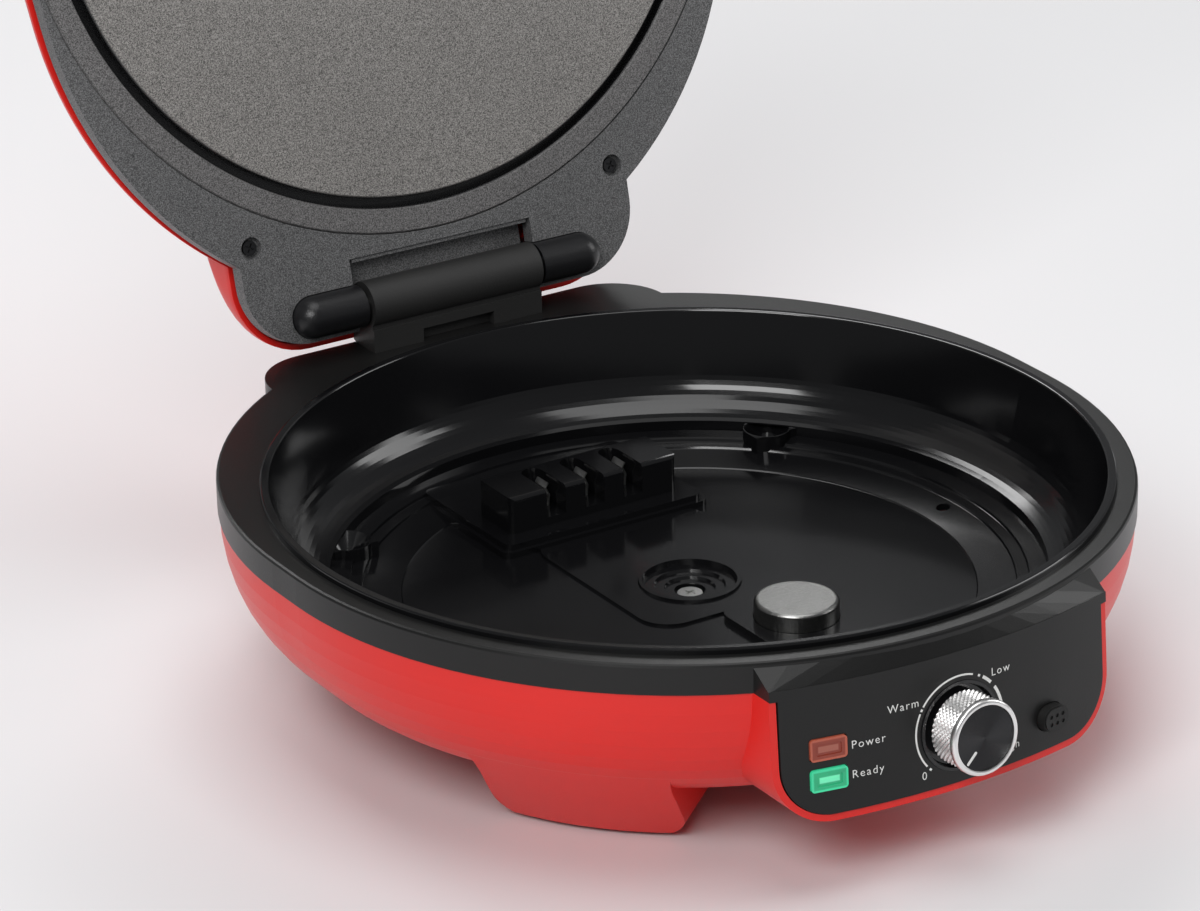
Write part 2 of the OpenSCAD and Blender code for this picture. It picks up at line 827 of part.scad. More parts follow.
module inner_basin() {
    under_to = acos((step_r + basin_wall - curve_r) / (curve_a + basin_wall));
    under_curve = basin_curve(basin_wall, under_to);
    inside = concat(
        [[mouth_r + bead_w, rim_h], [mouth_r + bead_w, rim_h + bead_h - 0.8]],
        arc(mouth_r + bead_w - 0.8, rim_h + bead_h - 0.8, 0.8, 30, 90, 2),
        arc(mouth_r + 0.8, rim_h + bead_h - 0.8, 0.8, 90, 165, 3),
        basin_curve(0, curve_to),
        [
            [step_r, floor_z + step_h],
            [ledge_r1 + 0.4, floor_z + 4.6], [ledge_r1, floor_z + 3.6],
            [ledge_r2 + 0.4, floor_z + 3.2], [ledge_r2, floor_z + 2.4],
            [floor_r + 0.5, floor_z + 0.4], [floor_r, floor_z], [0, floor_z]
        ]
    );
    under = concat(
        [
            [0, floor_z - recess_drop - recess_wall],
            [recess_hole + recess_wall, floor_z - recess_drop - recess_wall],
            [recess_hole + recess_wall, floor_low - 2.4],
            [recess_r + 2, floor_low - 2.4], [recess_r + 4, floor_low],
            [floor_r + 1, floor_low], [ledge_r2 + 1, floor_low + 2.2],
            [ledge_r1 + 1, floor_low + 4.2], [step_r + basin_wall, floor_low + step_h]
        ],
        [for (i = [curve_steps:-1:0]) under_curve[i]],
        [[mouth_r + basin_wall, platform_low - 1], [mouth_r + basin_wall, rim_h]]
    );
    color(gloss_black) placed() difference() {
        union() {
            rotate_extrude($fn = 180) polygon(concat(inside, under));
            intersection() {
                union() {
                    raised_pad(pad_half + 2, pad_y - 2, pad_h - pad_step, pad_back);
                    raised_pad(pad_half, pad_y, pad_h, pad_back);
                    spine();
                    sensor_platform();
                }
                basin_inside();
            }
            translate([0, 0, floor_z - 0.5]) {
                cylinder(h = recess_lip + 0.5, r1 = recess_r + 1.6, r2 = recess_r + 0.7);
            }
            at_wells_turned() well_post();
        }
        recess_cut();
        translate([0, 0, floor_low - 1]) translate([sensor_x, -sensor_y, 0]) {
            cylinder(h = 12, r = sensor_hole);
        }
        at_wells_turned() well_cut();
        on_face(button_x, button_z) {
            translate([-latch_slot_w / 2, hook_up - hook_t / 2 - 3, -60]) {
                cube([latch_slot_w, hook_t + 6, 60 - pivot_in - lever_t]);
            }
        }
        translate([0, 0, floor_z - recess_drop - recess_wall - 1]) cylinder(h = 6, r = screw_r + 0.1);
        translate([drain_x, 0, floor_low - 1]) cylinder(h = 8, r = 3);
        for (x = [-1, 0, 1]) translate([x * slot_pitch, socket_y + 14, floor_low - 1]) {
            cylinder(h = 12, r = 2.2);
        }
    }
}

// Round steps that lead down to the screw in the middle of the floor
module recess_cut() {
    steps = [
        [recess_r - 0.7, recess_lip], [recess_r - 1.5, -0.4], [14.2, -0.4], [13.6, -1.6],
        [10.2, -1.6], [9.6, -2.8], [recess_hole, -2.8], [recess_hole, -recess_drop]
    ];
    translate([0, 0, floor_z]) rotate_extrude() {
        polygon(concat([[0, 10], [recess_r - 0.7, 10]], steps, [[0, -recess_drop]]));
    }
}

// Space that a raised pattern on the floor may fill
module basin_inside() {
    translate([0, 0, floor_low + 0.5]) cylinder(h = 30, r1 = 136, r2 = 144);
}

module raised_pad(half, front, h, back) {
    translate([0, (front + back) / 2, floor_low + 0.5]) {
        linear_extrude(basin_wall - 0.5 + h) rounded_rect(2 * half, back - front, 4);
    }
}

module spine() {
    w = spine_left + spine_right;
    d = pad_y + 4 + spine_front;
    translate([(spine_right - spine_left) / 2, pad_y + 4 - d / 2, floor_low + 0.5]) {
        linear_extrude(basin_wall - 0.5 + spine_h) rounded_rect(w, d, 14);
    }
}

module sensor_platform() {
    w = platform_left + spine_right;
    d = 105;
    translate([(spine_right - platform_left) / 2, -platform_back - d / 2, floor_low + 0.5]) {
        linear_extrude(basin_wall - 0.5 + platform_h) rounded_rect(w, d, 9);
    }
}

module at_wells_turned() {
    for (x = [-well_x, well_x], y = [-well_y, well_y]) {
        translate([x, y, 0]) rotate([0, 0, y > 0 ? 0 : 180]) children();
    }
}

module well_post() {
    translate([0, 0, boss_low]) linear_extrude(well_top - boss_low) {
        circle(well_r);
        translate([-well_r, -well_front]) square([2 * well_r, well_front]);
    }
}

module well_cut() {
    translate([0, 0, well_sill]) {
        cylinder(h = well_top - well_sill + eps, r1 = well_hole, r2 = well_r - 0.6);
        translate([0, 0, -1.6]) cylinder(h = 1.6 + eps, r1 = screw_r + 0.1, r2 = well_hole);
    }
    translate([0, 0, boss_low - 1]) cylinder(h = 20, r = screw_r + 0.1);
}

module basin_screws() {
    color(steel) placed() at_wells() translate([0, 0, well_sill - 1.6]) {
        screw(well_hole - 0.2, 1.5, screw_r - 0.02, 16);
    }
}

module centre_screw() {
    head = 5.5;
    top = floor_z - recess_drop;
    color(steel) placed() translate([0, 0, top]) {
        difference() {
            cylinder(h = 1.6, r1 = head, r2 = head - 0.6);
            for (a = [20, 110]) rotate([0, 0, a]) translate([-2.6, -0.5, 0.6]) cube([5.2, 1, 2]);
        }
        translate([0, 0, -recess_wall - 5]) cylinder(h = recess_wall + 5, r = screw_r);
    }
}

module terminal_socket() {
    edge = 2;
    back = socket_y + socket_d;
    // Side view with its upper edges rounded
    side = concat(
        [[socket_y, socket_low], [back, socket_low]],
        arc(back - edge, socket_low + socket_h - edge, edge, 0, 90, 4),
        arc(socket_y + edge, socket_low + socket_h - edge, edge, 90, 180, 4)
    );
    color(gloss_black) placed() difference() {
        intersection() {
            translate([-socket_half, 0, 0]) rotate([90, 0, 90]) linear_extrude(2 * socket_half) {
                polygon(side);
            }
            translate([0, socket_y + socket_d / 2, socket_low]) linear_extrude(socket_h) {
                rounded_rect(2 * socket_half, socket_d, 3);
            }
        }
        for (x = [-1, 0, 1]) translate([x * slot_pitch, 0, 0]) {
            translate([0, 0, socket_low + 3.4]) linear_extrude(socket_h) {
                translate([-slot_w / 2, socket_y - 1]) square([slot_w, socket_d - 3 - slot_w / 2 + 1]);
                translate([0, socket_y + socket_d - 3 - slot_w / 2]) circle(slot_w / 2);
            }
            translate([0, socket_y + 14, socket_low - 1]) cylinder(h = 8, r = 2.2);
        }
    }
}

// Spring clips that grip the lower plate's blades
module socket_contacts() {
    t = 0.6;
    clip = [
        [-2.2, 0], [2.2, 0], [2.6, 4], [1, 7.4], [2.2, 9.4],
        [2.2 + t, 9.4 - t / 2], [1 + t, 7.4], [2.6 + t, 4], [2.2 + t, -t], [-2.2 - t, -t],
        [-2.6 - t, 4], [-1 - t, 7.4], [-2.2 - t, 9.4 - t / 2], [-2.2, 9.4], [-1, 7.4], [-2.6, 4]
    ];
    color(steel) placed() for (x = [-1, 0, 1])
        translate([x * slot_pitch, socket_y + 18, socket_low + 3.4 + t]) {
        rotate([90, 0, 0]) linear_extrude(8) polygon(clip);
        translate([0, -4, -t - 8]) cylinder(h = 8 + t, r = 1.6);
    }
}

/* Sensor */

module sensor_cup() {
    top = floor_z + sensor_h;
    flange_top = floor_low - fit_gap;
    edge = 1.6;
    profile = concat(
        [[sensor_r, flange_top], [sensor_flange_r, flange_top],
            [sensor_flange_r, flange_top - sensor_flange_t],
            [sensor_r - sensor_wall, flange_top - sensor_flange_t],
            [sensor_r - sensor_wall, top - sensor_wall - edge],
            [sensor_r - sensor_wall - edge, top - sensor_wall],
            [0, top - sensor_wall], [0, top]],
        arc(sensor_r - edge, top - edge, edge, 90, 0, 4)
    );
    color(steel) placed() translate([sensor_x, -sensor_y, 0]) rotate_extrude() polygon(profile);
}

module sensor_spring() {
    low = holder_low + holder_wall;
    color(steel) placed() translate([sensor_x, -sensor_y, 0]) {
        spring(8, 0.7, low, floor_z + sensor_h - sensor_wall, 6);
    }
}

module sensor_holder() {
    inner = holder_r;
    outer = holder_r + holder_wall;
    profile = [
        [4, holder_low], [outer, holder_low], [outer, floor_low - holder_wall],
        [outer + holder_rim, floor_low - holder_wall], [outer + holder_rim, floor_low],
        [inner, floor_low], [inner, holder_low + holder_wall], [4, holder_low + holder_wall]
    ];
    color(steel) placed() translate([sensor_x, -sensor_y, 0]) rotate_extrude() polygon(profile);
}

/* Panel */

module dial_bezel() {
    flange = bezel_r + 2.4;
    profile = [
        [bushing_r + 0.1, -bezel_depth], [bezel_r, -bezel_depth], [bezel_r, 0.3],
        [bezel_r - bezel_wall, 0.3], [bezel_r - bezel_wall - 0.8, -bezel_depth + bezel_wall],
        [bushing_r + 0.1, -bezel_depth + bezel_wall]
    ];
    back = [
        [bushing_r + 0.1, therm_front + 0.02], [flange, therm_front + 0.02],
        [flange, -bezel_depth - 0.2], [bezel_r, -bezel_depth], [bushing_r + 0.1, -bezel_depth]
    ];
    color(gloss_black) placed() on_face(0, knob_z) rotate_extrude() {
        polygon(profile);
        polygon(back);
    }
}

module thermostat() {
    color(satin_black) placed() on_face(0, knob_z) difference() {
        union() {
            translate([0, 0, therm_back]) cylinder(h = therm_front - therm_back, r = therm_r);
            translate([-12, -13, therm_back - 6]) cube([24, 16, 8]);
            cylinder(h = 2, r = bushing_r);
            translate([0, 0, therm_front - 1]) cylinder(h = 3 - therm_front, r = bushing_r);
            for (x = [-7, 7]) translate([x - 3, -10, therm_back - 12]) cube([6, 0.8, 7]);
        }
        translate([0, 0, -11]) cylinder(h = 20, r = shaft_r + run_gap);
    }
}

module thermostat_nut() {
    color(steel) placed() on_face(0, knob_z) translate([0, 0, nut_z]) difference() {
        cylinder(h = nut_h, r = nut_r, $fn = 6);
        translate([0, 0, -1]) cylinder(h = nut_h + 2, r = bushing_r);
    }
}

module d_shaft(r, h) {
    difference() {
        cylinder(h = h, r = r);
        translate([-r, shaft_r - shaft_flat + (r - shaft_r), -1]) cube([2 * r, r, h + 2]);
    }
}

module knob_shaft() {
    color(steel) placed() on_face(0, knob_z) {
        translate([0, 0, -10.7]) cylinder(h = 14.7, r = shaft_r);
        translate([0, 0, 4 - eps]) d_shaft(shaft_r, knob_proud - insert_t - 2 - 4);
    }
}

module knob_body() {
    top = knob_proud;
    profile = [
        [0, knob_base], [knob_r - 0.9, knob_base], [knob_r - 0.5, knob_base + 0.8],
        [knob_r - 0.5, top - 3.2], [knob_r - 0.9, top - 2.8], [knob_r, top - 2.4],
        [knob_r, top - 1], [knob_r - 0.9, top], [insert_r + 0.2, top],
        [insert_r, top - 0.6], [insert_r, top - insert_t], [0, top - insert_t]
    ];
    color(steel) placed() on_face(0, knob_z) difference() {
        rotate_extrude() polygon(profile);
        translate([0, 0, knob_base - 1]) cylinder(h = 1 + knob_cavity_h, r = knob_cavity_r);
        translate([0, 0, 3]) d_shaft(shaft_r + 0.02, knob_proud - insert_t - 2 - 3 + 0.2);
    }
}

module knob_insert() {
    color(gloss_black) placed() on_face(0, knob_z) translate([0, 0, knob_proud - insert_t]) {
        cylinder(h = insert_t - 0.5, r = insert_r - 0.02);
    }
}

module lens(side) {
    on_face(lamp_x, lamp_z) translate([0, side * lamp_pitch / 2, 0]) difference() {
        union() {
            translate([0, 0, -4]) linear_extrude(4.8) rounded_rect(lens_w, lens_h, 1.4);
            translate([0, 0, -4.4]) linear_extrude(1) rounded_rect(lens_w + 1.6, lens_h + 1.6, 1.4);
        }
        translate([0, 0, 0.3]) linear_extrude(2) rounded_rect(lens_w - 4.4, lens_h - 4, 0.8);
    }
}

module power_lens() {
    color([0.9, 0.25, 0.1]) placed() lens(1);
}

module ready_lens() {
    color([0.1, 0.75, 0.4]) placed() lens(-1);
}

module lamp_holder() {
    w = lens_w + 6;
    h = lamp_pitch + lens_h + 5;
    color(satin_black) placed() on_face(lamp_x, lamp_z) difference() {
        translate([0, 0, -16]) linear_extrude(11.6 - fit_gap + 0.3) rounded_rect(w, h, 2);
        for (s = [-1, 1]) {
            translate([0, s * lamp_pitch / 2, -14]) linear_extrude(20) {
                rounded_rect(lens_w - 3, lens_h - 1.5, 1);
            }
        }
    }
}

module neon_lamps() {
    color([1, 0.7, 0.5]) placed() on_face(lamp_x, lamp_z) for (s = [-1, 1]) {
        translate([0, s * lamp_pitch / 2, -14]) {
            cylinder(h = 5.4, r = 2.6);
            translate([0, 0, 5.4]) sphere(2.6);
        }
    }
}

module release_button() {
    color(satin_black) placed() on_face(button_x, button_z) {
        difference() {
            union() {
                translate([0, 0, button_rear - eps]) linear_extrude(button_proud - button_rear - 0.6) {
                    oval(button_w, button_h);
                }
                translate([0, 0, button_proud - 0.7]) linear_extrude(0.7) {
                    oval(button_w - 1.2, button_h - 1.2);
                }
            }
            for (x = [-3, 0, 3], y = [-1.5, 1.5]) {
                translate([x, y, button_proud - 0.5]) cylinder(h = 1, r = 0.8);
            }
        }
        translate([0, 0, button_rear - button_flange_t]) linear_extrude(button_flange_t) {
            oval(button_flange_w, button_flange_h);
        }
        translate([0, 0, lever_face + stem_tip]) {
            cylinder(h = button_rear - lever_face - stem_tip, r = pusher_r);
        }
    }
}

module button_spring() {
    color(steel) placed() on_face(button_x, button_z) {
        spring(3, 0.35, lever_face, button_rear - button_flange_t, 4);
    }
}

// Rocker between the ears, with the pusher's pad below and the hook above
module latch_lever() {
    color(steel) placed() on_face(button_x, button_z) difference() {
        union() {
            translate([-lever_w / 2, -5, -pivot_in - lever_t / 2]) {
                cube([lever_w, hook_up + 5 + hook_t / 2, lever_t]);
            }
            translate([-lever_w / 2, pivot_up, -pivot_in]) rotate([0, 90, 0]) cylinder(h = lever_w, r = 3.4);
            translate([-lever_w / 2, hook_up - hook_t / 2, hook_tip]) {
                cube([lever_w, hook_t, -pivot_in - hook_tip]);
            }
        }
        latch_pin_bore(latch_pin_r + run_gap);
    }
}

module latch_pin() {
    reach = lever_w / 2 + ear_gap + latch_ear_t;
    color(steel) placed() on_face(button_x, button_z) {
        translate([-reach, pivot_up, -pivot_in]) rotate([0, 90, 0]) cylinder(h = 2 * reach, r = latch_pin_r);
    }
}

/* Hinge */

module hinge_bracket() {
    foot = [
        [bracket_front, rim_h], [ear_y - 0.5, rim_h], [bracket_back, rim_h + 0.8],
        [bracket_back, rim_h + bracket_step],
        [hinge_y + 7, hinge_z], [hinge_y - 7, hinge_z], [bracket_front + 1.2, rim_h + bracket_step],
        [bracket_front, rim_h + bracket_step]
    ];
    color(satin_black) placed() difference() {
        translate([-bracket_half, 0, 0]) rotate([90, 0, 90]) linear_extrude(2 * bracket_half) {
            polygon(foot);
            translate([hinge_y, hinge_z]) circle(barrel_r);
        }
        translate([-bracket_half - 1, hinge_y, hinge_z]) rotate([0, 90, 0]) {
            cylinder(h = 2 * bracket_half + 2, r = pin_r + run_gap);
        }
        translate([-notch_half, bracket_front - 1, rim_h - 1]) cube([2 * notch_half, 5, notch_h + 1]);
        for (x = [-bracket_screw_x, bracket_screw_x]) translate([x, hinge_y, rim_h - 1]) {
            cylinder(h = 8, r = 1.6);
        }
    }
}

module bracket_screws() {
    color(steel) placed() for (x = [-bracket_screw_x, bracket_screw_x])
        translate([x, hinge_y, platform_low]) {
        translate([0, 0, -2]) cylinder(h = 2, r = 3.6);
        cylinder(h = frame_wall + 6, r = 1.58);
    }
}

module hinge_pin() {
    color(steel) placed() swung_open() translate([-pin_reach, hinge_y, hinge_z]) rotate([0, 90, 0]) {
        cylinder(h = 2 * pin_reach, r = pin_r);
    }
}

module cord_gland() {
    color(satin_black) placed() translate([gland_x, ear_y - band_step, gland_z]) rotate([90, 0, 0])
        difference() {
        union() {
            translate([0, 0, -gland_rim]) cylinder(h = gland_rim, r = gland_r + 2.2);
            translate([0, 0, -gland_rim]) cylinder(h = 8, r = gland_r - seat_gap);
        }
        translate([0, 0, -3]) cylinder(h = 20, r = gland_bore);
    }
}

/* Lid, drawn closed */

module dome(r, cy, wall) {
    steps = 9;
    power = 2.2;
    points = [
        for (i = [0:steps])
        let (a = 90 * i / steps, k = 2 / power)
        [(r - wall) * pow(cos(a), k), (dome_h - wall) * pow(sin(a), k)]
    ];
    low = wall > 0 ? -1 : 0;
    translate([0, cy, lip_z]) rotate_extrude($fn = 64) {
        polygon(concat([[0, low], [r - wall, low]], points));
    }
}

module lid_body(wall) {
    hull() {
        dome(plate_r, -plate_y, wall);
        dome(flange_r, flange_y, wall);
    }
    low = wall > 0 ? lip_z - 1 : lip_z;
    front = shell_ear_y - ear_crown_back;
    crown = [
        for (i = [0:8])
        let (a = 90 * i / 8, k = 2 / 2.4)
        [front + (ear_crown_back - wall) * pow(cos(a), k), lip_z + (ear_crown - wall) * pow(sin(a), k)]
    ];
    intersection() {
        translate([0, 0, low]) linear_extrude(60) {
            ear_outline(shell_ear_half - wall, shell_ear_y - wall, shell_ear_corner - wall, 100);
        }
        translate([-100, 0, 0]) rotate([90, 0, 90]) linear_extrude(200) {
            polygon(concat([[100, low], [shell_ear_y - wall, low]], crown,
                [[100, lip_z + ear_crown - wall]]));
        }
    }
}

module lid_shell() {
    boss_low_z = flange_z + flange_t + seat_gap;
    color(red) placed() swung_open() difference() {
        union() {
            difference() {
                lid_body(0);
                lid_body(lid_wall);
            }
            at_lid_screws() translate([0, 0, boss_low_z]) {
                cylinder(h = lip_z + ear_crown - lid_wall / 2 - boss_low_z, r = lid_boss_r);
            }
        }
        at_lid_screws() cylinder(h = flange_z + screw_set + lid_screw_len, r = lid_screw_r + seat_gap);
    }
}

module at_lid_screws() {
    for (x = [-lid_screw_x, lid_screw_x]) translate([x, lid_screw_y, 0]) children();
}

module lid_flange() {
    ledge_z = flange_z + plate_t + seat_gap;
    skirt_low = flange_z + flange_t;
    color(speckled) placed() swung_open() difference() {
        union() {
            translate([0, 0, flange_z]) linear_extrude(flange_t) lid_outline(0);
            translate([0, 0, skirt_low - eps]) {
                linear_extrude(skirt_top - skirt_low) lid_outline(-skirt_inset);
            }
        }
        translate([0, 0, skirt_low]) linear_extrude(far) lid_outline(-skirt_inset - skirt_t);
        translate([0, -plate_y, flange_z - 1]) {
            cylinder(h = ledge_z - flange_z + 1, r = plate_r - plate_set + plate_gap, $fn = 180);
            cylinder(h = far, r = channel_r + plate_t + 2 * plate_gap, $fn = 180);
        }
        window();
        knuckle_pockets();
        at_lid_screws() {
            translate([0, 0, flange_z - 1]) cylinder(h = 1 + screw_set, r = 4.6);
            translate([0, 0, flange_z]) cylinder(h = flange_t + 1, r = lid_screw_r + seat_gap);
            translate([0, 0, skirt_low]) cylinder(h = far, r = lid_boss_r + fit_gap);
        }
        translate([-133, 102, flange_z - 1]) cylinder(h = 1.4, r = 1.6);
        at_grip_screws() cylinder(h = 30, r = grip_screw_r);
    }
}

module window() {
    translate([-window_half, window_y, flange_z - 5]) cube([2 * window_half, 60, 60]);
}

module knuckle_pockets() {
    for (s = [-1, 1]) translate([s * (knuckle_x - 1), hinge_y, hinge_z]) {
        rotate([0, s * 90, 0]) capsule(knuckle_r + fit_gap, knuckle_len + 1 + fit_gap);
    }
    for (s = [-1, 1]) {
        x0 = s > 0 ? knuckle_x : -knuckle_x - knuckle_len + knuckle_r;
        translate([x0 - 0.3, hinge_y - knuckle_r - fit_gap, hinge_z]) {
            cube([knuckle_len - knuckle_r + 0.6, 2 * (knuckle_r + fit_gap), 30]);
        }
    }
}

module capsule(r, length) {
    cylinder(h = length - r, r = r);
    translate([0, 0, length - r]) sphere(r);
}

module lid_knuckles() {
    foot_l = knuckle_len - knuckle_r;
    color(gloss_black) placed() swung_open() difference() {
        for (s = [-1, 1]) {
            translate([s * knuckle_x, hinge_y, hinge_z]) rotate([0, s * 90, 0]) {
                capsule(knuckle_r, knuckle_len);
            }
            x0 = s > 0 ? knuckle_x : -knuckle_x - foot_l;
            translate([x0, hinge_y - knuckle_r, hinge_z]) {
                cube([foot_l, 2 * knuckle_r, lip_depth + 8]);
            }
        }
        translate([-pin_reach - 0.2, hinge_y, hinge_z]) rotate([0, 90, 0]) {
            cylinder(h = 2 * pin_reach + 0.4, r = pin_r + seat_gap);
        }
    }
}

module lid_plate() {
    r0 = plate_r - 1;
    disc_r = channel_r - channel_w;
    z0 = flange_z;
    profile = [
        [0, z0 - plate_rise + 1.2], [disc_r - 1, z0 - plate_rise + 1.2], [disc_r, z0],
        [disc_r, z0 + channel_d], [channel_r, z0 + channel_d], [channel_r, z0 + 0.8],
        [channel_r + 0.8, z0], [r0 - 0.6, z0], [r0, z0 + 0.6], [r0, z0 + plate_t],
        [channel_r + plate_t, z0 + plate_t], [channel_r + plate_t, z0 + channel_d + plate_t],
        [disc_r - plate_t, z0 + channel_d + plate_t], [disc_r - plate_t, z0 + plate_t],
        [0, z0 + plate_t]
    ];
    color(speckled) placed() swung_open() translate([0, -plate_y, 0]) {
        rotate_extrude($fn = 180) polygon(profile);
    }
}

module lid_heater() {
    z = flange_z + plate_t + heater_tube + 0.02;
    color(steel) placed() swung_open() translate([0, -plate_y, z]) {
        rotate([0, 0, 105]) rotate_extrude(angle = 330) translate([heater_r, 0]) {
            circle(heater_tube, $fn = 24);
        }
        for (a = [105, 75]) rotate([0, 0, a]) translate([heater_r, 0, 0]) {
            cylinder(h = 9, r = heater_tube, $fn = 24);
        }
    }
}

module lid_reflector() {
    z = flange_z + channel_d + plate_t;
    rise = 9;
    profile = [
        [0, z + rise], [120, z + rise], [148, z + 0.02], [154, z + 0.02],
        [154, z + 0.6], [148.3, z + 0.6], [120.3, z + rise + 0.6], [0, z + rise + 0.6]
    ];
    color(steel) placed() swung_open() translate([0, -plate_y, 0]) rotate_extrude($fn = 180) polygon(profile);
}

module lid_screws() {
    color(steel) placed() swung_open() at_lid_screws() {
        translate([0, 0, flange_z + screw_set - 1.4]) difference() {
            cylinder(h = 1.4, r = 3.1);
            for (a = [30, 120]) rotate([0, 0, a]) translate([-2, -0.4, -1]) cube([4, 0.8, 1.8]);
        }
        translate([0, 0, flange_z + screw_set - eps]) cylinder(h = lid_screw_len, r = lid_screw_r);
    }
}

// Places children on the skirt's inner face, with +Z pointing out through the grip
module at_grip_screws() {
    for (a = [-grip_screw_a, grip_screw_a]) translate([0, -plate_y, grip_screw_z]) rotate([0, 0, a]) {
        translate([0, -plate_r + skirt_inset + skirt_t + 0.05, 0]) rotate([90, 0, 0]) children();
    }
}

module lid_grip() {
    front = plate_y + plate_r;
    color(satin_black) placed() swung_open() difference() {
        translate([0, 0, flange_z + 1]) linear_extrude(grip_h) difference() {
            translate([0, -front - grip_reach / 2 + 6]) rounded_rect(2 * grip_half, grip_reach + 12, 10);
            lid_outline(seat_gap);
        }
        translate([0, -front - grip_reach + 4, flange_z]) rotate([0, 90, 0]) {
            cylinder(h = 1.5 * grip_half, r = 3, center = true);
        }
        at_grip_screws() cylinder(h = 20, r = grip_screw_r);
    }
}

module grip_screws() {
    color(steel) placed() swung_open() at_grip_screws() {
        cylinder(h = 18, r = grip_screw_r - seat_gap);
        translate([0, 0, -1.1]) cylinder(h = 1.1 + eps, r = 2.8);
    }
}

base_shell();
legs();
leg_screws();
rubber_feet();
upper_frame();
inner_basin();
basin_screws();
terminal_socket();
socket_contacts();
sensor_cup();
sensor_spring();
sensor_holder();
centre_screw();
dial_bezel();
thermostat();
thermostat_nut();
knob_shaft();
knob_body();
knob_insert();
power_lens();
ready_lens();
lamp_holder();
neon_lamps();
release_button();
button_spring();
latch_lever();
latch_pin();
hinge_bracket();
bracket_screws();
hinge_pin();
cord_gland();
lid_shell();
lid_flange();
lid_plate();
lid_heater();
lid_reflector();
lid_knuckles();
lid_screws();
lid_grip();
grip_screws();
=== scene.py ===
# %% [markdown]
# # A round pizza maker with its lid leaned open
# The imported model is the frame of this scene. It already has every part in its place, so this
# lesson adds what a solid model leaves out: finishes, print on the panel, a knurled dial and a
# smooth lid. Blender works in metres; the sizes below are in millimetres and are scaled once.

# %% Load the frame
import bpy
import bmesh
import math
from mathutils import Matrix, Vector


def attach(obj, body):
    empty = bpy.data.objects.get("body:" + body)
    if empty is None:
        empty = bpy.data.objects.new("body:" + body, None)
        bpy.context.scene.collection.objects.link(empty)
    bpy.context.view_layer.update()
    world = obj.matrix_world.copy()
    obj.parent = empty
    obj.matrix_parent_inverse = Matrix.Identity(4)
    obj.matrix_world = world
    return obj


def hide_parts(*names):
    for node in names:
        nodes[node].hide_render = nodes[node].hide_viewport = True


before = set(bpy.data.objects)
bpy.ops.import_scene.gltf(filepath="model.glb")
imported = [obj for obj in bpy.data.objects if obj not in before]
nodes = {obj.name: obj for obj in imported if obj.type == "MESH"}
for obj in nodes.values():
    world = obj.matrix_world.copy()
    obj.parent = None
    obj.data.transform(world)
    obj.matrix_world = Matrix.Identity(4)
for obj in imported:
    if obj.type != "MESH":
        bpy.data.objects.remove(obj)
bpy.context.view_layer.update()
MM = 0.001

# %% [markdown]
# The camera comes first. A long lens from the front left, a little above, keeps the ellipses of
# the basin almost parallel, and a lens shift places the machine in the frame as in the picture,
# with the top of the lid cut off.

# %% Camera
AXIS_Y = -44.5          # the basin's upright axis stands here, in the frame
VIEW_AZ, VIEW_EL, VIEW_ROLL = -34.24, 23.41, -0.13
IMAGE_W, IMAGE_H = 1200, 911
FOCAL_PX, CENTRE_X, CENTRE_Y = 4959.34, 782.18, 456.83
CAMERA_MM = (-967.5, -1486.3 + AXIS_Y, 866.2)
SENSOR_W = 36.0
NEAR_CLIP, FAR_CLIP = 0.05, 30.0

camera_data = bpy.data.cameras.new("camera")
camera = bpy.data.objects.new("camera", camera_data)
bpy.context.scene.collection.objects.link(camera)
bpy.context.scene.camera = camera
camera_data.sensor_width = SENSOR_W
camera_data.lens = FOCAL_PX / IMAGE_W * SENSOR_W
camera_data.shift_x = (IMAGE_W / 2 - CENTRE_X) / IMAGE_W
camera_data.shift_y = (CENTRE_Y - IMAGE_H / 2) / IMAGE_W
az, el = math.radians(VIEW_AZ), math.radians(VIEW_EL)
back = Vector((math.sin(az) * math.cos(el), -math.cos(az) * math.cos(el), math.sin(el)))
roll = Matrix.Rotation(math.radians(VIEW_ROLL), 3, "Z")
turn = (-back).to_track_quat("-Z", "Y").to_matrix() @ roll
camera.matrix_world = Matrix.Translation(Vector(CAMERA_MM) * MM) @ turn.to_4x4()
camera_data.clip_start = NEAR_CLIP
camera_data.clip_end = FAR_CLIP
print("lens", round(camera_data.lens, 1), "shift", round(camera_data.shift_x, 4))

# %% [markdown]
# Shader maths reads best as arithmetic. The class below wraps one socket of a node tree, and its
# operators add Math nodes, so `1 - mask * 0.4` is written as it is meant. Every other node comes
# from `add`, which sets a node's options first and then its sockets.

# %% A small language for materials
class Socket:
    """One output of a node tree, with operators that add Math nodes."""

    def __init__(self, tree, socket):
        self.tree = tree
        self.socket = socket

    def _math(self, operation, a, b):
        return self.tree.add("ShaderNodeMath", {"operation": operation}, {0: a, 1: b})

    def __add__(self, other):
        return self._math("ADD", self, other)

    def __radd__(self, other):
        return self._math("ADD", other, self)

    def __sub__(self, other):
        return self._math("SUBTRACT", self, other)

    def __rsub__(self, other):
        return self._math("SUBTRACT", other, self)

    def __mul__(self, other):
        return self._math("MULTIPLY", self, other)

    def __rmul__(self, other):
        return self._math("MULTIPLY", other, self)

    def __truediv__(self, other):
        return self._math("DIVIDE", self, other)

    def __pow__(self, other):
        return self._math("POWER", self, other)


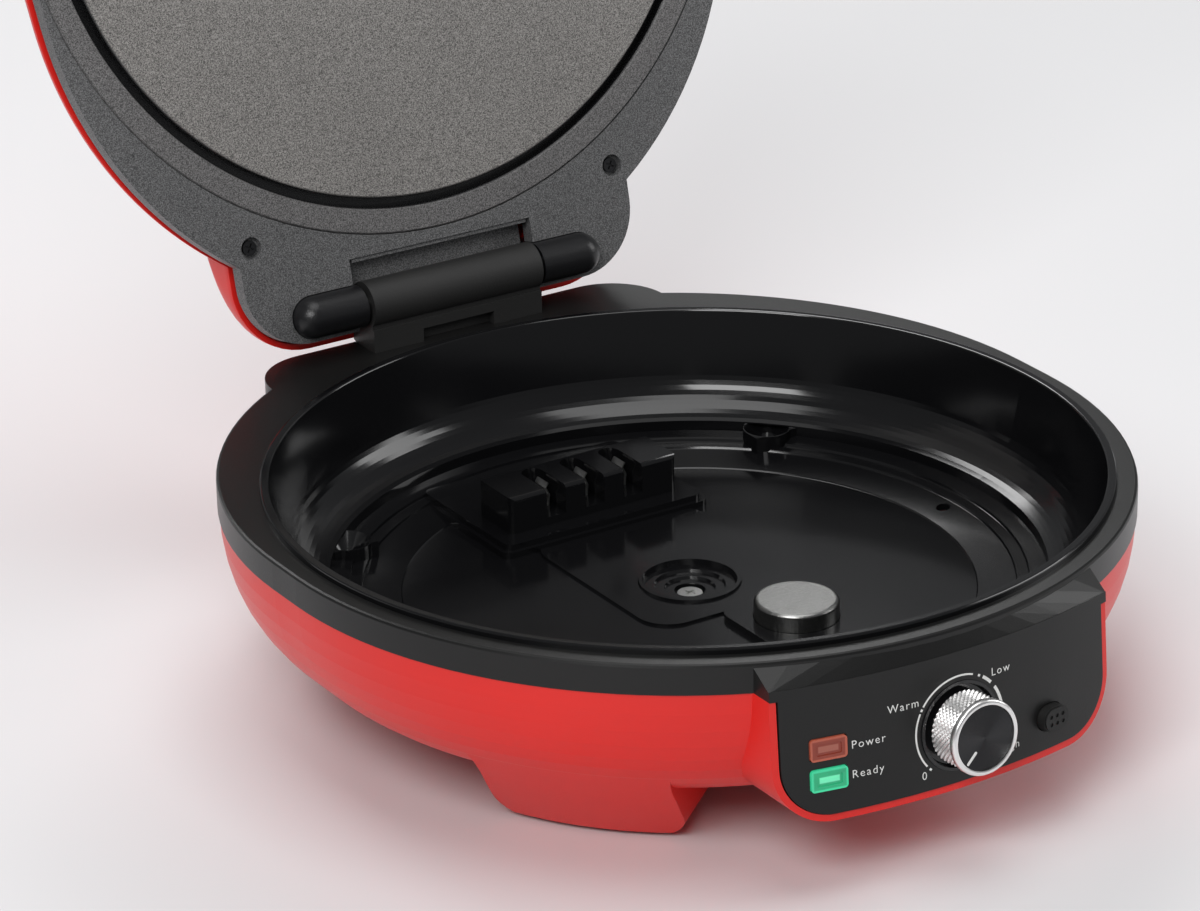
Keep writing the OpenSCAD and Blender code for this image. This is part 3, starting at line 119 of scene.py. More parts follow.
class Finish:
    """A material with one Principled shader, and short calls for the nodes it uses."""

    def __init__(self, name, color=(0.5, 0.5, 0.5), rough=0.5, metal=0.0, **fixed):
        self.material = bpy.data.materials.new(name)
        self.material.use_nodes = True
        self.nodes = self.material.node_tree.nodes
        self.links = self.material.node_tree.links
        self.shader = self.nodes["Principled BSDF"]
        self.shader.inputs["Base Color"].default_value = (*color, 1.0)
        self.shader.inputs["Roughness"].default_value = rough
        self.shader.inputs["Metallic"].default_value = metal
        for socket, value in fixed.items():
            self.shader.inputs[socket.replace("_", " ")].default_value = value
        self.place = self.add("ShaderNodeTexCoord", {}, {}, "Object")

    def plug(self, target, value):
        """Links a socket to the target, or sets the target to a plain value."""
        if isinstance(value, Socket):
            self.links.new(value.socket, target)
        else:
            target.default_value = value

    def add(self, kind, options, inputs, output=0):
        """Adds a node, sets its options, then its sockets, and returns one of its outputs."""
        node = self.nodes.new(kind)
        for key, value in options.items():
            setattr(node, key, value)
        for key, value in inputs.items():
            self.plug(node.inputs[key], value)
        return Socket(self, node.outputs[output])

    def set(self, socket, value):
        self.plug(self.shader.inputs[socket], value)

    def noise(self, scale, detail=2.0, rough=0.5, place=None):
        return self.add("ShaderNodeTexNoise", {}, {
            "Vector": place or self.place, "Scale": scale, "Detail": detail, "Roughness": rough})

    def cells(self, scale):
        return self.add("ShaderNodeTexVoronoi", {"feature": "F1"}, {
            "Vector": self.place, "Scale": scale}, "Distance")

    def ramp(self, value, stops):
        """Turns a value into a grey level through pairs of (position, level)."""
        socket = self.add("ShaderNodeValToRGB", {}, {"Fac": value})
        ramp = socket.socket.node.color_ramp
        while len(ramp.elements) < len(stops):
            ramp.elements.new(0.5)
        for element, (at, level) in zip(ramp.elements, stops):
            element.position = at
            element.color = (level, level, level, 1.0)
        return socket

    def blend(self, factor, a, b):
        """Mixes two colours, each a socket or three numbers."""
        return self.add("ShaderNodeMix", {"data_type": "RGBA"}, {
            "Factor": factor, 6: (*a, 1.0) if isinstance(a, tuple) else a,
            7: (*b, 1.0) if isinstance(b, tuple) else b}, 2)

    def bump(self, height, strength, distance):
        self.set("Normal", self.add("ShaderNodeBump", {}, {
            "Height": height, "Strength": strength, "Distance": distance}))


# %% [markdown]
# ## Finishes
# The red is a moulded plastic with a soft gloss. Its depth comes from a saturated base colour and
# a moderate specular level: a strong clear coat would veil it with the pale room. A slow change of
# tone and a fine grain in the roughness keep the large bowl from looking like a painted ball.

# %% Red plastic
RED = (0.80, 0.020, 0.014)
RED_DEEP = (0.72, 0.015, 0.011)
red_gloss = Finish("red_gloss_plastic", RED, 0.34, Specular_IOR_Level=0.42)
tone = red_gloss.noise(11.0, 1.0)
grain = red_gloss.noise(1400.0, 2.0)
red_gloss.set("Base Color", red_gloss.blend(tone, RED_DEEP, RED))
red_gloss.set("Roughness", 0.30 + grain * 0.10)
red_gloss.bump(grain, 0.05, 0.0001)
print("red plastic:", len(red_gloss.nodes), "nodes")

# %% [markdown]
# The rim, the fascia and the hinge are one family of satin black mouldings. Their spark-eroded
# grain is only seen in the highlights, so it sits in bump and roughness and not in colour.

# %% Satin black mouldings
def satin_black_finish(name, color, rough, grain_scale, grain_depth):
    """A grey level, its roughness, and how fine and how deep its grain is."""
    finish = Finish(name, (color, color, color), rough, Specular_IOR_Level=0.35)
    fine = finish.noise(grain_scale, 3.0, 0.6)
    cloud = finish.noise(14.0, 2.0)
    shade = (color * 0.8, color * 0.8, color * 0.8)
    finish.set("Base Color", finish.blend(cloud, shade, (color * 1.2, color * 1.18, color * 1.15)))
    finish.set("Roughness", rough - 0.06 + fine * 0.1 + cloud * 0.04)
    finish.bump(fine, grain_depth, 0.0002)
    return finish


rim_black = satin_black_finish("satin_black_rim", 0.008, 0.34, 1500.0, 0.2)
hinge_black = satin_black_finish("satin_black_hinge", 0.022, 0.42, 1100.0, 0.45)
button_black = satin_black_finish("matt_black_button", 0.010, 0.5, 1400.0, 0.4)
inside_black = satin_black_finish("plain_black_inside", 0.03, 0.5, 900.0, 0.3)
print("satin blacks:", [f.material.name for f in (rim_black, hinge_black, button_black, inside_black)])

# %% [markdown]
# The basin is moulded in polished black resin. It shows the room like a dark mirror, and only the
# smears of a cleaning cloth and a little dust keep it from looking like glass. The lid's two
# knuckles are nearly as glossy, with a fine grain.

# %% Polished black
gloss_black = Finish("polished_black_basin", (0.004, 0.004, 0.0045), 0.08, Specular_IOR_Level=0.5)
dust = gloss_black.noise(700.0, 4.0, 0.7)
smear = gloss_black.noise(18.0, 2.0)
gloss_black.set("Roughness", 0.10 + smear * 0.04 + (dust ** 6.0) * 0.35)
gloss_black.bump(smear, 0.02, 0.0006)

knuckle_black = Finish("polished_black_knuckles", (0.008, 0.008, 0.009), 0.24,
                       Specular_IOR_Level=0.4)
knuckle_black.set("Roughness", 0.26 + knuckle_black.noise(900.0, 2.0) * 0.12)
knuckle_black.bump(knuckle_black.noise(1500.0, 3.0), 0.4, 0.0002)
print("polished blacks:", gloss_black.material.name, knuckle_black.material.name)

# %% [markdown]
# Both lid plates carry a sprayed release coating: a dark grey ground full of pale mineral
# speckles about half a millimetre wide, with a sandy feel. A fine noise gives the speckles and a
# Voronoi field adds larger pale spots. A finer Voronoi field and the noise make the sandy bump.

# %% Speckled coating
def speckled_finish(name, ground, speck, share, rough):
    """Returns the finish with its speckled colour and its roughness, for the zones on top."""
    finish = Finish(name, ground, rough, Specular_IOR_Level=0.45)
    small = finish.cells(2600.0)
    large = finish.cells(1150.0)
    patch = finish.noise(1900.0, 3.0, 0.7)
    cloud = finish.noise(9.0, 2.0)
    fine = finish.ramp(patch, [(0.5 - share, 0.0), (0.62, 1.0)])
    spots = finish.ramp(large, [(0.12, 1.0), (0.34, 0.0)])
    mixed = finish.blend(fine, ground, speck)
    mixed = finish.blend(spots * 0.3, mixed, tuple(1.4 * c for c in speck))
    coat = finish.blend(cloud * 0.3, mixed, tuple(0.82 * c for c in ground))
    finish.set("Base Color", coat)
    sandy = rough - 0.1 + small * 0.25
    finish.set("Roughness", sandy)
    finish.bump(small * 0.5 + patch, 0.3, 0.00025)
    return finish, coat, sandy


# Place and direction of the open lid, shared by the plate's finish and the lid's pieces
HINGE = Vector((0, 182.0, 111.8))
OPEN_ANGLE = math.radians(-103)
OPEN_LID = (Matrix.Scale(MM, 4) @ Matrix.Translation((0, AXIS_Y, 0)) @ Matrix.Translation(HINGE)
            @ Matrix.Rotation(OPEN_ANGLE, 4, "X") @ Matrix.Translation(-HINGE))
FLANGE_Z, PLATE_R, PLATE_Y = 112.8, 165.0, 7.0
CHANNEL_R, CHANNEL_W = 153.3, 4.0

FLANGE_GROUND, FLANGE_SPECK = (0.044, 0.044, 0.045), (0.205, 0.205, 0.207)
DISC_GROUND, DISC_SPECK = (0.064, 0.061, 0.058), (0.395, 0.378, 0.360)
flange_speckle = speckled_finish("speckled_flange", FLANGE_GROUND, FLANGE_SPECK, 0.08, 0.42)[0]
print("speckled flange:", len(flange_speckle.nodes), "nodes")

# %% [markdown]
# The plate has three zones, and each is a ring round its axis: the pale disc that bakes, a groove
# that holds no speckle and shines black, and a dark rim like the flange's. The distance from the
# axis is the length of a cross product, and two soft steps along it pick the zone.

# %% Zones of the plate
CHANNEL_BLACK = (0.006, 0.006, 0.0065)
RIM_SHADE = (0.62, 0.63, 0.66)
plate_speckle, disc_coat, disc_sandy = speckled_finish(
    "speckled_plate", DISC_GROUND, DISC_SPECK, 0.10, 0.40)
plate_centre = OPEN_LID @ Vector((0, -PLATE_Y, FLANGE_Z))
plate_axis = (OPEN_LID.to_3x3() @ Vector((0, 0, 1))).normalized()
from_centre = plate_speckle.add("ShaderNodeVectorMath", {"operation": "SUBTRACT"},
                                {0: plate_speckle.place, 1: tuple(plate_centre)})
across = plate_speckle.add("ShaderNodeVectorMath", {"operation": "CROSS_PRODUCT"},
                           {0: from_centre, 1: tuple(plate_axis)})
from_axis = plate_speckle.add("ShaderNodeVectorMath", {"operation": "LENGTH"}, {0: across}, "Value")
radius_mm = from_axis * (1 / MM)


def outside(radius, width=0.5):
    """A mask that is 0 inside a radius in millimetres and 1 outside it."""
    return plate_speckle.add("ShaderNodeMapRange", {"clamp": True}, {
        "Value": radius_mm, "From Min": radius, "From Max": radius + width})


beyond_disc = outside(CHANNEL_R - CHANNEL_W - 0.8)
beyond_channel = outside(CHANNEL_R + 0.2)
in_channel = beyond_disc - beyond_channel
rim_coat = plate_speckle.add("ShaderNodeVectorMath", {"operation": "MULTIPLY"},
                             {0: disc_coat, 1: RIM_SHADE})
zones = plate_speckle.blend(beyond_disc, disc_coat, CHANNEL_BLACK)
plate_speckle.set("Base Color", plate_speckle.blend(beyond_channel, zones, rim_coat))
plate_speckle.set("Roughness", disc_sandy - in_channel * 0.2)
print("speckled plate:", len(plate_speckle.nodes), "nodes")

# %% [markdown]
# Metals: plain plated steel for screws and springs, blackened steel for the lid's two screws, a
# chromed knob, and the sensor cup, whose top is scratched in every direction by the plates that
# have been set down on it.

# %% Metals
steel = Finish("plated_steel", (0.56, 0.56, 0.55), 0.3, 1.0)
steel.set("Roughness", 0.24 + steel.noise(800.0, 3.0) * 0.16)

black_screw = Finish("blackened_screw", (0.035, 0.035, 0.037), 0.35, 0.8)
black_screw.set("Roughness", 0.28 + black_screw.noise(1500.0, 3.0) * 0.2)

knob_chrome = Finish("satin_chrome", (0.88, 0.87, 0.86), 0.24, 1.0)
knob_chrome.set("Roughness", 0.26 + knob_chrome.noise(900.0, 2.0) * 0.1)

cup_steel = Finish("scratched_steel", (0.42, 0.42, 0.41), 0.3, 1.0)
SCRATCH_ANGLES = (12, 47, 83, 118, 155)
ALONG, ACROSS = 140.0, 2200.0   # a scratch is this coarse along its line and this fine across it
scratches = 0.0
for index, angle in enumerate(SCRATCH_ANGLES):
    line_place = cup_steel.add("ShaderNodeMapping", {}, {
        "Vector": cup_steel.place, "Rotation": (0.0, 0.0, math.radians(angle)),
        "Location": (0.1 * index, 0.0, 0.0), "Scale": (ALONG, ACROSS, ALONG)})
    line = cup_steel.noise(1.0, 2.0, 0.6, line_place)
    scratches = scratches + cup_steel.ramp(line, [(0.64, 0.0), (0.72, 1.0)]) * 0.4
scuffs = cup_steel.noise(700.0, 4.0, 0.7)
cup_steel.set("Roughness", 0.24 + scratches * 0.15 + scuffs * 0.12)
cup_steel.set("Base Color", cup_steel.blend(scratches * 0.4 + scuffs * 0.4, (0.17, 0.17, 0.165),
                                            (0.50, 0.50, 0.49)))
cup_steel.bump(scratches + scuffs * 0.5, 0.35, 0.00015)
print("sensor cup:", len(SCRATCH_ANGLES), "sets of scratches")

# %% [markdown]
# The dial's black face is turned on a lathe. The cutter leaves rings so fine that they only steer
# the highlight into two fans, which bump along the radius gives. White print, rubber and the
# smoked recess behind the dial are made here too.

# %% Small finishes
RING_PHASE = 26000.0      # radians of ring per metre, which is about four rings per millimetre


def spun_face_finish(centre):
    """Black metal with fine rings round a centre in metres."""
    finish = Finish("spun_black_face", (0.042, 0.042, 0.044), 0.3, 1.0)
    local = finish.add("ShaderNodeVectorMath", {"operation": "SUBTRACT"},
                       {0: finish.place, 1: centre})
    radius = finish.add("ShaderNodeVectorMath", {"operation": "LENGTH"}, {0: local}, "Value")
    rings = finish.add("ShaderNodeMath", {"operation": "SINE"}, {0: radius * RING_PHASE})
    finish.set("Roughness", 0.26 + rings * 0.05)
    finish.bump(rings, 0.5, 0.00004)
    return finish


white_print = Finish("white_print", (0.80, 0.80, 0.78), 0.5)
white_print.set("Roughness", 0.45 + white_print.noise(1200.0) * 0.1)
rubber = Finish("black_rubber", (0.02, 0.02, 0.02), 0.75)
rubber.bump(rubber.noise(900.0, 3.0), 0.3, 0.0002)
bezel_black = Finish("smoked_bezel", (0.012, 0.012, 0.013), 0.15)
bezel_black.set("Roughness", 0.12 + bezel_black.noise(300.0) * 0.06)
print("small finishes:", [f.material.name for f in (white_print, rubber, bezel_black)])

# %% [markdown]
# The fascia is part of a cone, a little wider at its foot, so that it faces slightly upwards.
# Lenses, print and dial are placed on it by two small functions: one gives a point at a height and
# side of the panel, the other a whole frame there.

# %% The fascia as a surface
FASCIA_R, FASCIA_FRONT, BEND_Z, LEAN = 280.0, 178.0, 85.0, math.radians(4.4)
RIM_Z = 93.0


def fascia_radius(z):
    """The cone's radius at a height, in millimetres."""
    return FASCIA_R + (BEND_Z - z) * math.tan(LEAN)


def fascia_point(x, z, out=0.0):
    """A point on the panel at x and z, lifted along the outward normal, in metres."""
    r = fascia_radius(z)
    yaw = math.asin(x / r)
    normal = Vector((math.sin(yaw) * math.cos(LEAN), -math.cos(yaw) * math.cos(LEAN),
                     math.sin(LEAN)))
    on_face = Vector((x, AXIS_Y + FASCIA_R - FASCIA_FRONT - math.sqrt(r * r - x * x), z))
    return (on_face + normal * out) * MM


def fascia_frame(x, z):
    """A matrix whose X runs along the panel, Y up it and Z straight out of it, in millimetres."""
    yaw = math.asin(x / fascia_radius(z))
    turn = Matrix.Rotation(yaw, 4, "Z") @ Matrix.Rotation(math.pi / 2 - LEAN, 4, "X")
    return Matrix.Translation(fascia_point(x, z)) @ turn @ Matrix.Scale(MM, 4)


print("fascia radius at the rim:", round(fascia_radius(RIM_Z), 1), "mm")

# %% [markdown]
# A lamp window is a clear coloured block with a lit bar behind it. Seen from the front it has a
# bright edge, a deeper field and the bar, so the finish measures how far a point lies from the
# window's middle along the panel and up it, and mixes three tones from that.

# %% Lamp windows
LENS_HALF_W, LENS_HALF_H, LENS_EDGE = 7.25, 4.25, 1.0
BAR_HALF_W, BAR_HALF_H = 3.8, 1.0
LENS_X, POWER_DEPTH, READY_DEPTH = -55.0, 33.0, 45.0     # depths are below the rim


def lens_finish(name, depth, deep, tone, bar, glow):
    """A window at a depth below the rim, with its field, edge and bar colours and its glow."""
    finish = Finish(name, tone, 0.2, Transmission_Weight=0.3, IOR=1.49)
    finish.shader.inputs["Emission Strength"].default_value = glow
    place = fascia_frame(LENS_X, RIM_Z - depth)
    local = finish.add("ShaderNodeVectorMath", {"operation": "SUBTRACT"},
                       {0: finish.place, 1: tuple(place.translation)})

    def from_middle(column):
        axis = tuple(place.to_3x3().col[column].normalized() / MM)
        along = finish.add("ShaderNodeVectorMath", {"operation": "DOT_PRODUCT"},
                           {0: local, 1: axis}, "Value")
        return finish.add("ShaderNodeMath", {"operation": "ABSOLUTE"}, {0: along})

    def within(distance, half, soft=0.35):
        return finish.add("ShaderNodeMapRange", {"clamp": True}, {
            "Value": distance, "From Min": half + soft, "From Max": half})

    across, up = from_middle(0), from_middle(1)
    field = within(across, LENS_HALF_W - LENS_EDGE) * within(up, LENS_HALF_H - LENS_EDGE)
    lit = within(across, BAR_HALF_W) * within(up, BAR_HALF_H)
    color = finish.blend(lit, finish.blend(field, tone, deep), bar)
    finish.set("Base Color", color)
    finish.set("Emission Color", color)
    finish.set("Roughness", 0.14 + finish.noise(400.0, 2.0) * 0.1)
    return finish


red_lens = lens_finish("red_lens", POWER_DEPTH, (0.30, 0.050, 0.028), (0.52, 0.12, 0.07),
                       (0.42, 0.13, 0.09), 0.12)
green_lens = lens_finish("green_lens", READY_DEPTH, (0.025, 0.36, 0.18), (0.05, 0.60, 0.32),
                         (0.17, 0.80, 0.48), 0.35)
lamp_glass = Finish("lamp_glass", (0.9, 0.7, 0.5), 0.1, Transmission_Weight=0.6)
lamp_glass.set("Roughness", 0.08 + lamp_glass.noise(300.0) * 0.05)
print("lamp windows:", red_lens.material.name, green_lens.material.name)

# %% [markdown]
# Each CAD node keeps its shape and takes one of these finishes.

# %% Dress the CAD nodes
FINISH_OF = {
    red_gloss: ("base_shell", "legs", "lid_shell"),
    rim_black: ("upper_frame",),
    hinge_black: ("hinge_bracket", "lid_grip"),
    button_black: ("release_button",),
    inside_black: ("thermostat", "lamp_holder"),
    gloss_black: ("inner_basin", "terminal_socket"),
    knuckle_black: ("lid_knuckles",),
    flange_speckle: ("lid_flange",),
    plate_speckle: ("lid_plate",),
    steel: ("leg_screws", "basin_screws", "socket_contacts", "sensor_spring", "sensor_holder",
            "centre_screw", "thermostat_nut", "knob_shaft", "button_spring", "latch_lever", "latch_pin",
            "bracket_screws", "hinge_pin", "lid_heater", "lid_reflector", "grip_screws"),
    black_screw: ("lid_screws",),
    knob_chrome: ("knob_body",),
    cup_steel: ("sensor_cup",),
    bezel_black: ("dial_bezel", "knob_insert"),
    rubber: ("rubber_feet", "cord_gland"),
    red_lens: ("power_lens",),
    green_lens: ("ready_lens",),
    lamp_glass: ("neon_lamps",),
}
for finish, names in FINISH_OF.items():
    for name in names:
        mesh = nodes[name].data
        mesh.materials.clear()
        mesh.materials.append(finish.material)
print("dressed", sum(len(n) for n in FINISH_OF.values()), "of", len(nodes), "nodes")

# %% [markdown]
# The large mouldings come as long thin triangles. A Weighted Normal modifier lets the big faces
# decide how the light turns over them, so that a highlight runs evenly round the bowl.

# %% Even highlights
LARGE_MOULDINGS = ("base_shell", "inner_basin", "upper_frame")
BIG_FACES_FIRST = 100
for name in LARGE_MOULDINGS:
    even = nodes[name].modifiers.new("even_light", "WEIGHTED_NORMAL")
    even.keep_sharp = True
    even.weight = BIG_FACES_FIRST
print("even highlights on", len(LARGE_MOULDINGS), "mouldings")

# %% [markdown]
# A moulding never has a knife edge. A Bevel modifier rounds the edges of the socket and the
# bracket by less than a millimetre and those of the grip by one and a half, and the shape
# underneath stays as it was.

# %% Soft edges on the blocks
EDGE_WIDTH = {"terminal_socket": 0.9, "hinge_bracket": 0.7, "lid_grip": 1.5}
for name, width in EDGE_WIDTH.items():
    edge = nodes[name].modifiers.new("soft_edge", "BEVEL")
    edge.width = width * MM
    edge.segments = 3
    edge.limit_method = "ANGLE"
    edge.angle_limit = math.radians(40)
    edge.use_clamp_overlap = True
print("soft edges on", sorted(EDGE_WIDTH))


# %% [markdown]
# ## New pieces
# Every new piece of the object goes through one function, which gives it its finish and the body
# that it rides on.

# %% Turn a bmesh into a piece
SMOOTH_BELOW = math.radians(35)


def finish_piece(name, bm, finish, body, place=None, smooth=True):
    """Makes an object of a bmesh, after moving it to its place."""
    if place is not None:
        bmesh.ops.transform(bm, matrix=place, verts=bm.verts)
    mesh = bpy.data.meshes.new(name)
    bm.to_mesh(mesh)
    bm.free()
    mesh.materials.append(finish.material)
    if smooth:
        mesh.shade_smooth()
        mesh.set_sharp_from_angle(angle=SMOOTH_BELOW)
    piece = bpy.data.objects.new(name, mesh)
    bpy.context.scene.collection.objects.link(piece)
    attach(piece, body)
    return piece


def spin_profile(points, steps):
    """Turns a chain of (radius, height) points round Z into a closed shape."""
    bm = bmesh.new()
    chain = [bm.verts.new((r, 0.0, z)) for r, z in points]
    edges = [bm.edges.new(pair) for pair in zip(chain, chain[1:])]
    bmesh.ops.spin(bm, geom=chain + edges, cent=(0, 0, 0), axis=(0, 0, 1), angle=2 * math.pi,
                   steps=steps, use_merge=True)
    bmesh.ops.remove_doubles(bm, verts=bm.verts, dist=1e-5)
    bmesh.ops.recalc_face_normals(bm, faces=bm.faces)
    return bm


# %% [markdown]
# The dial's grip is knurled: two sets of slanted cuts leave rows of small pyramids. A spun
# cylinder with many short rows gets them by pressing in every second vertex, like a chessboard.
# An edge between the two pressed corners of each face then makes every other vertex the tip of
# a pyramid with four flat sides.

# %% Knurled dial
KNOB_Z, KNOB_R, KNOB_PROUD, INSERT_R, INSERT_T = 56.0, 14.65, 16.0, 12.6, 1.6
KNOB_BASE, HOLLOW_R, HOLLOW_TOP = 0.8, 8.6, 4.8     # the hollow is at the back of the dial
KNURL_LOW, KNURL_HIGH, KNURL_ROWS, KNURL_STEPS, KNURL_DEPTH = 1.7, 12.5, 10, 84, 0.6
PLAY = 0.02                                         # between the dial and its face
knurl_r = KNOB_R - 0.3
seat_r, seat_z = INSERT_R + PLAY, KNOB_PROUD - INSERT_T + PLAY
row_heights = [KNURL_LOW + (KNURL_HIGH - KNURL_LOW) * k / KNURL_ROWS for k in range(KNURL_ROWS + 1)]
hollow = [(0.0, HOLLOW_TOP), (HOLLOW_R, HOLLOW_TOP), (HOLLOW_R, KNOB_BASE)]
foot_edge = [(KNOB_R - 1.2, KNOB_BASE), (KNOB_R - 0.8, 1.2)]
knurl = [(knurl_r, z) for z in row_heights]
bright_ring = [
    (KNOB_R - 0.9, 12.9), (KNOB_R - 0.3, 13.1), (KNOB_R, 13.5), (KNOB_R, 15.0),
    (KNOB_R - 0.25, 15.6), (KNOB_R - 0.8, 15.95)]
face_seat = [(INSERT_R + 0.5, KNOB_PROUD), (INSERT_R + 0.1, 15.8), (seat_r, 15.4), (seat_r, seat_z),
             (0.0, seat_z)]
bm = spin_profile(hollow + foot_edge + knurl + bright_ring + face_seat, KNURL_STEPS)
pressed_in = 1 - KNURL_DEPTH / knurl_r
pressed = []
for vert in bm.verts:
    radius = math.hypot(vert.co.x, vert.co.y)
    if abs(radius - knurl_r) < 1e-3:
        row = round((vert.co.z - KNURL_LOW) / (KNURL_HIGH - KNURL_LOW) * KNURL_ROWS)
        step = round(math.atan2(vert.co.y, vert.co.x) / (2 * math.pi) * KNURL_STEPS)
        if (row + step) % 2:
            vert.co.x *= pressed_in
            vert.co.y *= pressed_in
            pressed.append(vert)
bmesh.ops.connect_verts(bm, verts=pressed)
dial_place = fascia_frame(0.0, KNOB_Z)
dial = finish_piece("dial_grip", bm, knob_chrome, "knob", dial_place)
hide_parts("knob_body")
print("dial:", len(dial.data.polygons), "faces")

# %% [markdown]
# The turned face and its white pointer. The pointer rests on the 0 mark, at the lower left.

# %% Dial face and pointer
FACE_DEEP, FACE_T, FACE_STEPS = 0.5, 1.0, 96
face_top = KNOB_PROUD - FACE_DEEP
face_r = INSERT_R - PLAY
bm = spin_profile([(0.0, face_top - FACE_T), (face_r, face_top - FACE_T), (face_r, face_top - 0.2),
                   (INSERT_R - 0.25, face_top), (0.0, face_top)], FACE_STEPS)
spun_black = spun_face_finish(tuple(dial_place @ Vector((0, 0, face_top))))
dial_face = finish_piece("dial_face", bm, spun_black, "knob", dial_place)
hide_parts("knob_insert")

POINTER_AT, POINTER_IN, POINTER_OUT, POINTER_W, POINTER_T = 225.0, 6.6, 11.6, 1.1, 0.12
bm = bmesh.new()
bmesh.ops.create_circle(bm, cap_ends=True, segments=24, radius=POINTER_W / 2)
for vert in bm.verts:
    vert.co.x += POINTER_OUT if vert.co.x > 0 else POINTER_IN
raised = bmesh.ops.extrude_face_region(bm, geom=bm.faces[:])["geom"]
raised_verts = [g for g in raised if isinstance(g, bmesh.types.BMVert)]
bmesh.ops.translate(bm, vec=(0, 0, POINTER_T), verts=raised_verts)
bmesh.ops.recalc_face_normals(bm, faces=bm.faces)
pointer_turn = Matrix.Rotation(math.radians(POINTER_AT), 4, "Z")
pointer_place = dial_place @ pointer_turn @ Matrix.Translation((0, 0, face_top - 0.01))
finish_piece("dial_pointer", bm, white_print, "knob", place=pointer_place, smooth=False)
print("pointer at", POINTER_AT, "degrees")

# %% [markdown]
# Print on the panel: plain control words. Text is made a mesh, and every vertex is then laid on
# the curved panel. The print stands six hundredths of a millimetre proud, as a pad print would
# look, and reaches as far into the panel, so that no gap shows under it.

# %% Panel print
PRINT_OUT = 0.06
LETTERS, LETTER_GAP, LETTER_THIN = 4.5, 1.22, -0.035
# Each word with its left end and its depth below the rim
WORDS = (("Power", -46.0, 33.8), ("Ready", -46.2, 45.3), ("Warm", -31.0, 23.6),
         ("Low", 14.8, 20.4), ("High", 17.5, 52.0), ("0", -17.6, 52.9))


def lay_on_fascia(bm):
    """Moves flat print, drawn in panel millimetres, on to the panel's surface."""
    for vert in bm.verts:
        vert.co = fascia_point(vert.co.x, vert.co.y, vert.co.z)


def print_word(word, x, z):
    """Prints a word whose left end is at x and whose middle is at height z."""
    text = bpy.data.curves.new("print_" + word, "FONT")
    text.body = word
    text.size = LETTERS
    text.space_character = LETTER_GAP
    text.align_x = "LEFT"
    text.align_y = "CENTER"
    text.extrude = PRINT_OUT
    text.offset = LETTER_THIN
    text.resolution_u = 3
    text_object = bpy.data.objects.new("text", text)
    bpy.context.scene.collection.objects.link(text_object)
    evaluated = text_object.evaluated_get(bpy.context.evaluated_depsgraph_get())
    flat = bpy.data.meshes.new_from_object(evaluated)
    bpy.data.objects.remove(text_object)
    bm = bmesh.new()
    bm.from_mesh(flat)
    bpy.data.meshes.remove(flat)
    bmesh.ops.remove_doubles(bm, verts=bm.verts, dist=1e-4)
    bmesh.ops.translate(bm, vec=(x, z, 0), verts=bm.verts)
    lay_on_fascia(bm)
    finish_piece("print_" + word.lower(), bm, white_print, "base", smooth=False)


for word, x, depth in WORDS:
    print_word(word, x, RIM_Z - depth)
print("words:", [word for word, x, depth in WORDS])

# %% [markdown]
# The scale runs clockwise round the dial: a dot at 0, then a thin arc and a dot each for Warm and
# for Low, and four broad dashes for High. Each mark is a small rectangle, spun round the dial's axis
# on a flat drawing and then laid on the panel as the words are.

# %% Scale round the dial
SCALE_R, ARC_STEP = 19.5, 3.0
DOT_W, ARC_W, DASH_W = 0.9, 0.7, 1.2
HIGH_DASHES = ((42.0, 56.0), (11.0, 34.0), (-18.0, 4.0), (-44.0, -26.0))


def scale_mark(name, start, end, width):
    """An arc of print from one angle to another round the dial's axis."""
    bm = bmesh.new()
    steps = max(2, round(abs(end - start) / ARC_STEP))
    low, high = SCALE_R - width / 2, SCALE_R + width / 2
    ends = [bm.verts.new((low, 0, -PRINT_OUT)), bm.verts.new((high, 0, -PRINT_OUT)),
            bm.verts.new((high, 0, PRINT_OUT)), bm.verts.new((low, 0, PRINT_OUT))]
    cap = bm.faces.new(ends)
    first_turn = Matrix.Rotation(math.radians(start), 3, "Z")
    bmesh.ops.rotate(bm, cent=(0, 0, 0), matrix=first_turn, verts=bm.verts)
    bmesh.ops.spin(bm, geom=[cap] + cap.edges[:] + cap.verts[:], cent=(0, 0, 0), axis=(0, 0, 1),
                   angle=math.radians(end - start), steps=steps)
    bmesh.ops.recalc_face_normals(bm, faces=bm.faces)
    bmesh.ops.translate(bm, vec=(0, KNOB_Z, 0), verts=bm.verts)
    lay_on_fascia(bm)
    finish_piece(name, bm, white_print, "base", smooth=False)


scale_mark("scale_zero_dot", 223.5, 226.5, DOT_W)
scale_mark("scale_warm_arc", 153.0, 219.0, ARC_W)
scale_mark("scale_warm_dot", 147.5, 150.5, DOT_W)
scale_mark("scale_low_arc", 71.0, 145.0, ARC_W)
scale_mark("scale_low_dot", 60.5, 63.5, DOT_W)
for k, (start, end) in enumerate(HIGH_DASHES):
    scale_mark("scale_high_dash_" + str(k), start, end, DASH_W)
print("scale: 5 marks and", len(HIGH_DASHES), "dashes")

# %% [markdown]
# ## The lid's shell
# The lid is one soft dome over two circles of nearly the same size, the plate's and the rear
# curve's. A solid modeller spans them with facets, but a mesh can follow the true surface: each
# level is the outline round both circles, made narrower as it rises, and the level below is
# extruded to it. The ears are a second, lower crown with a rounded outline. A Solidify modifier
# then gives both the wall, inward, and a small bevel softens the lip.

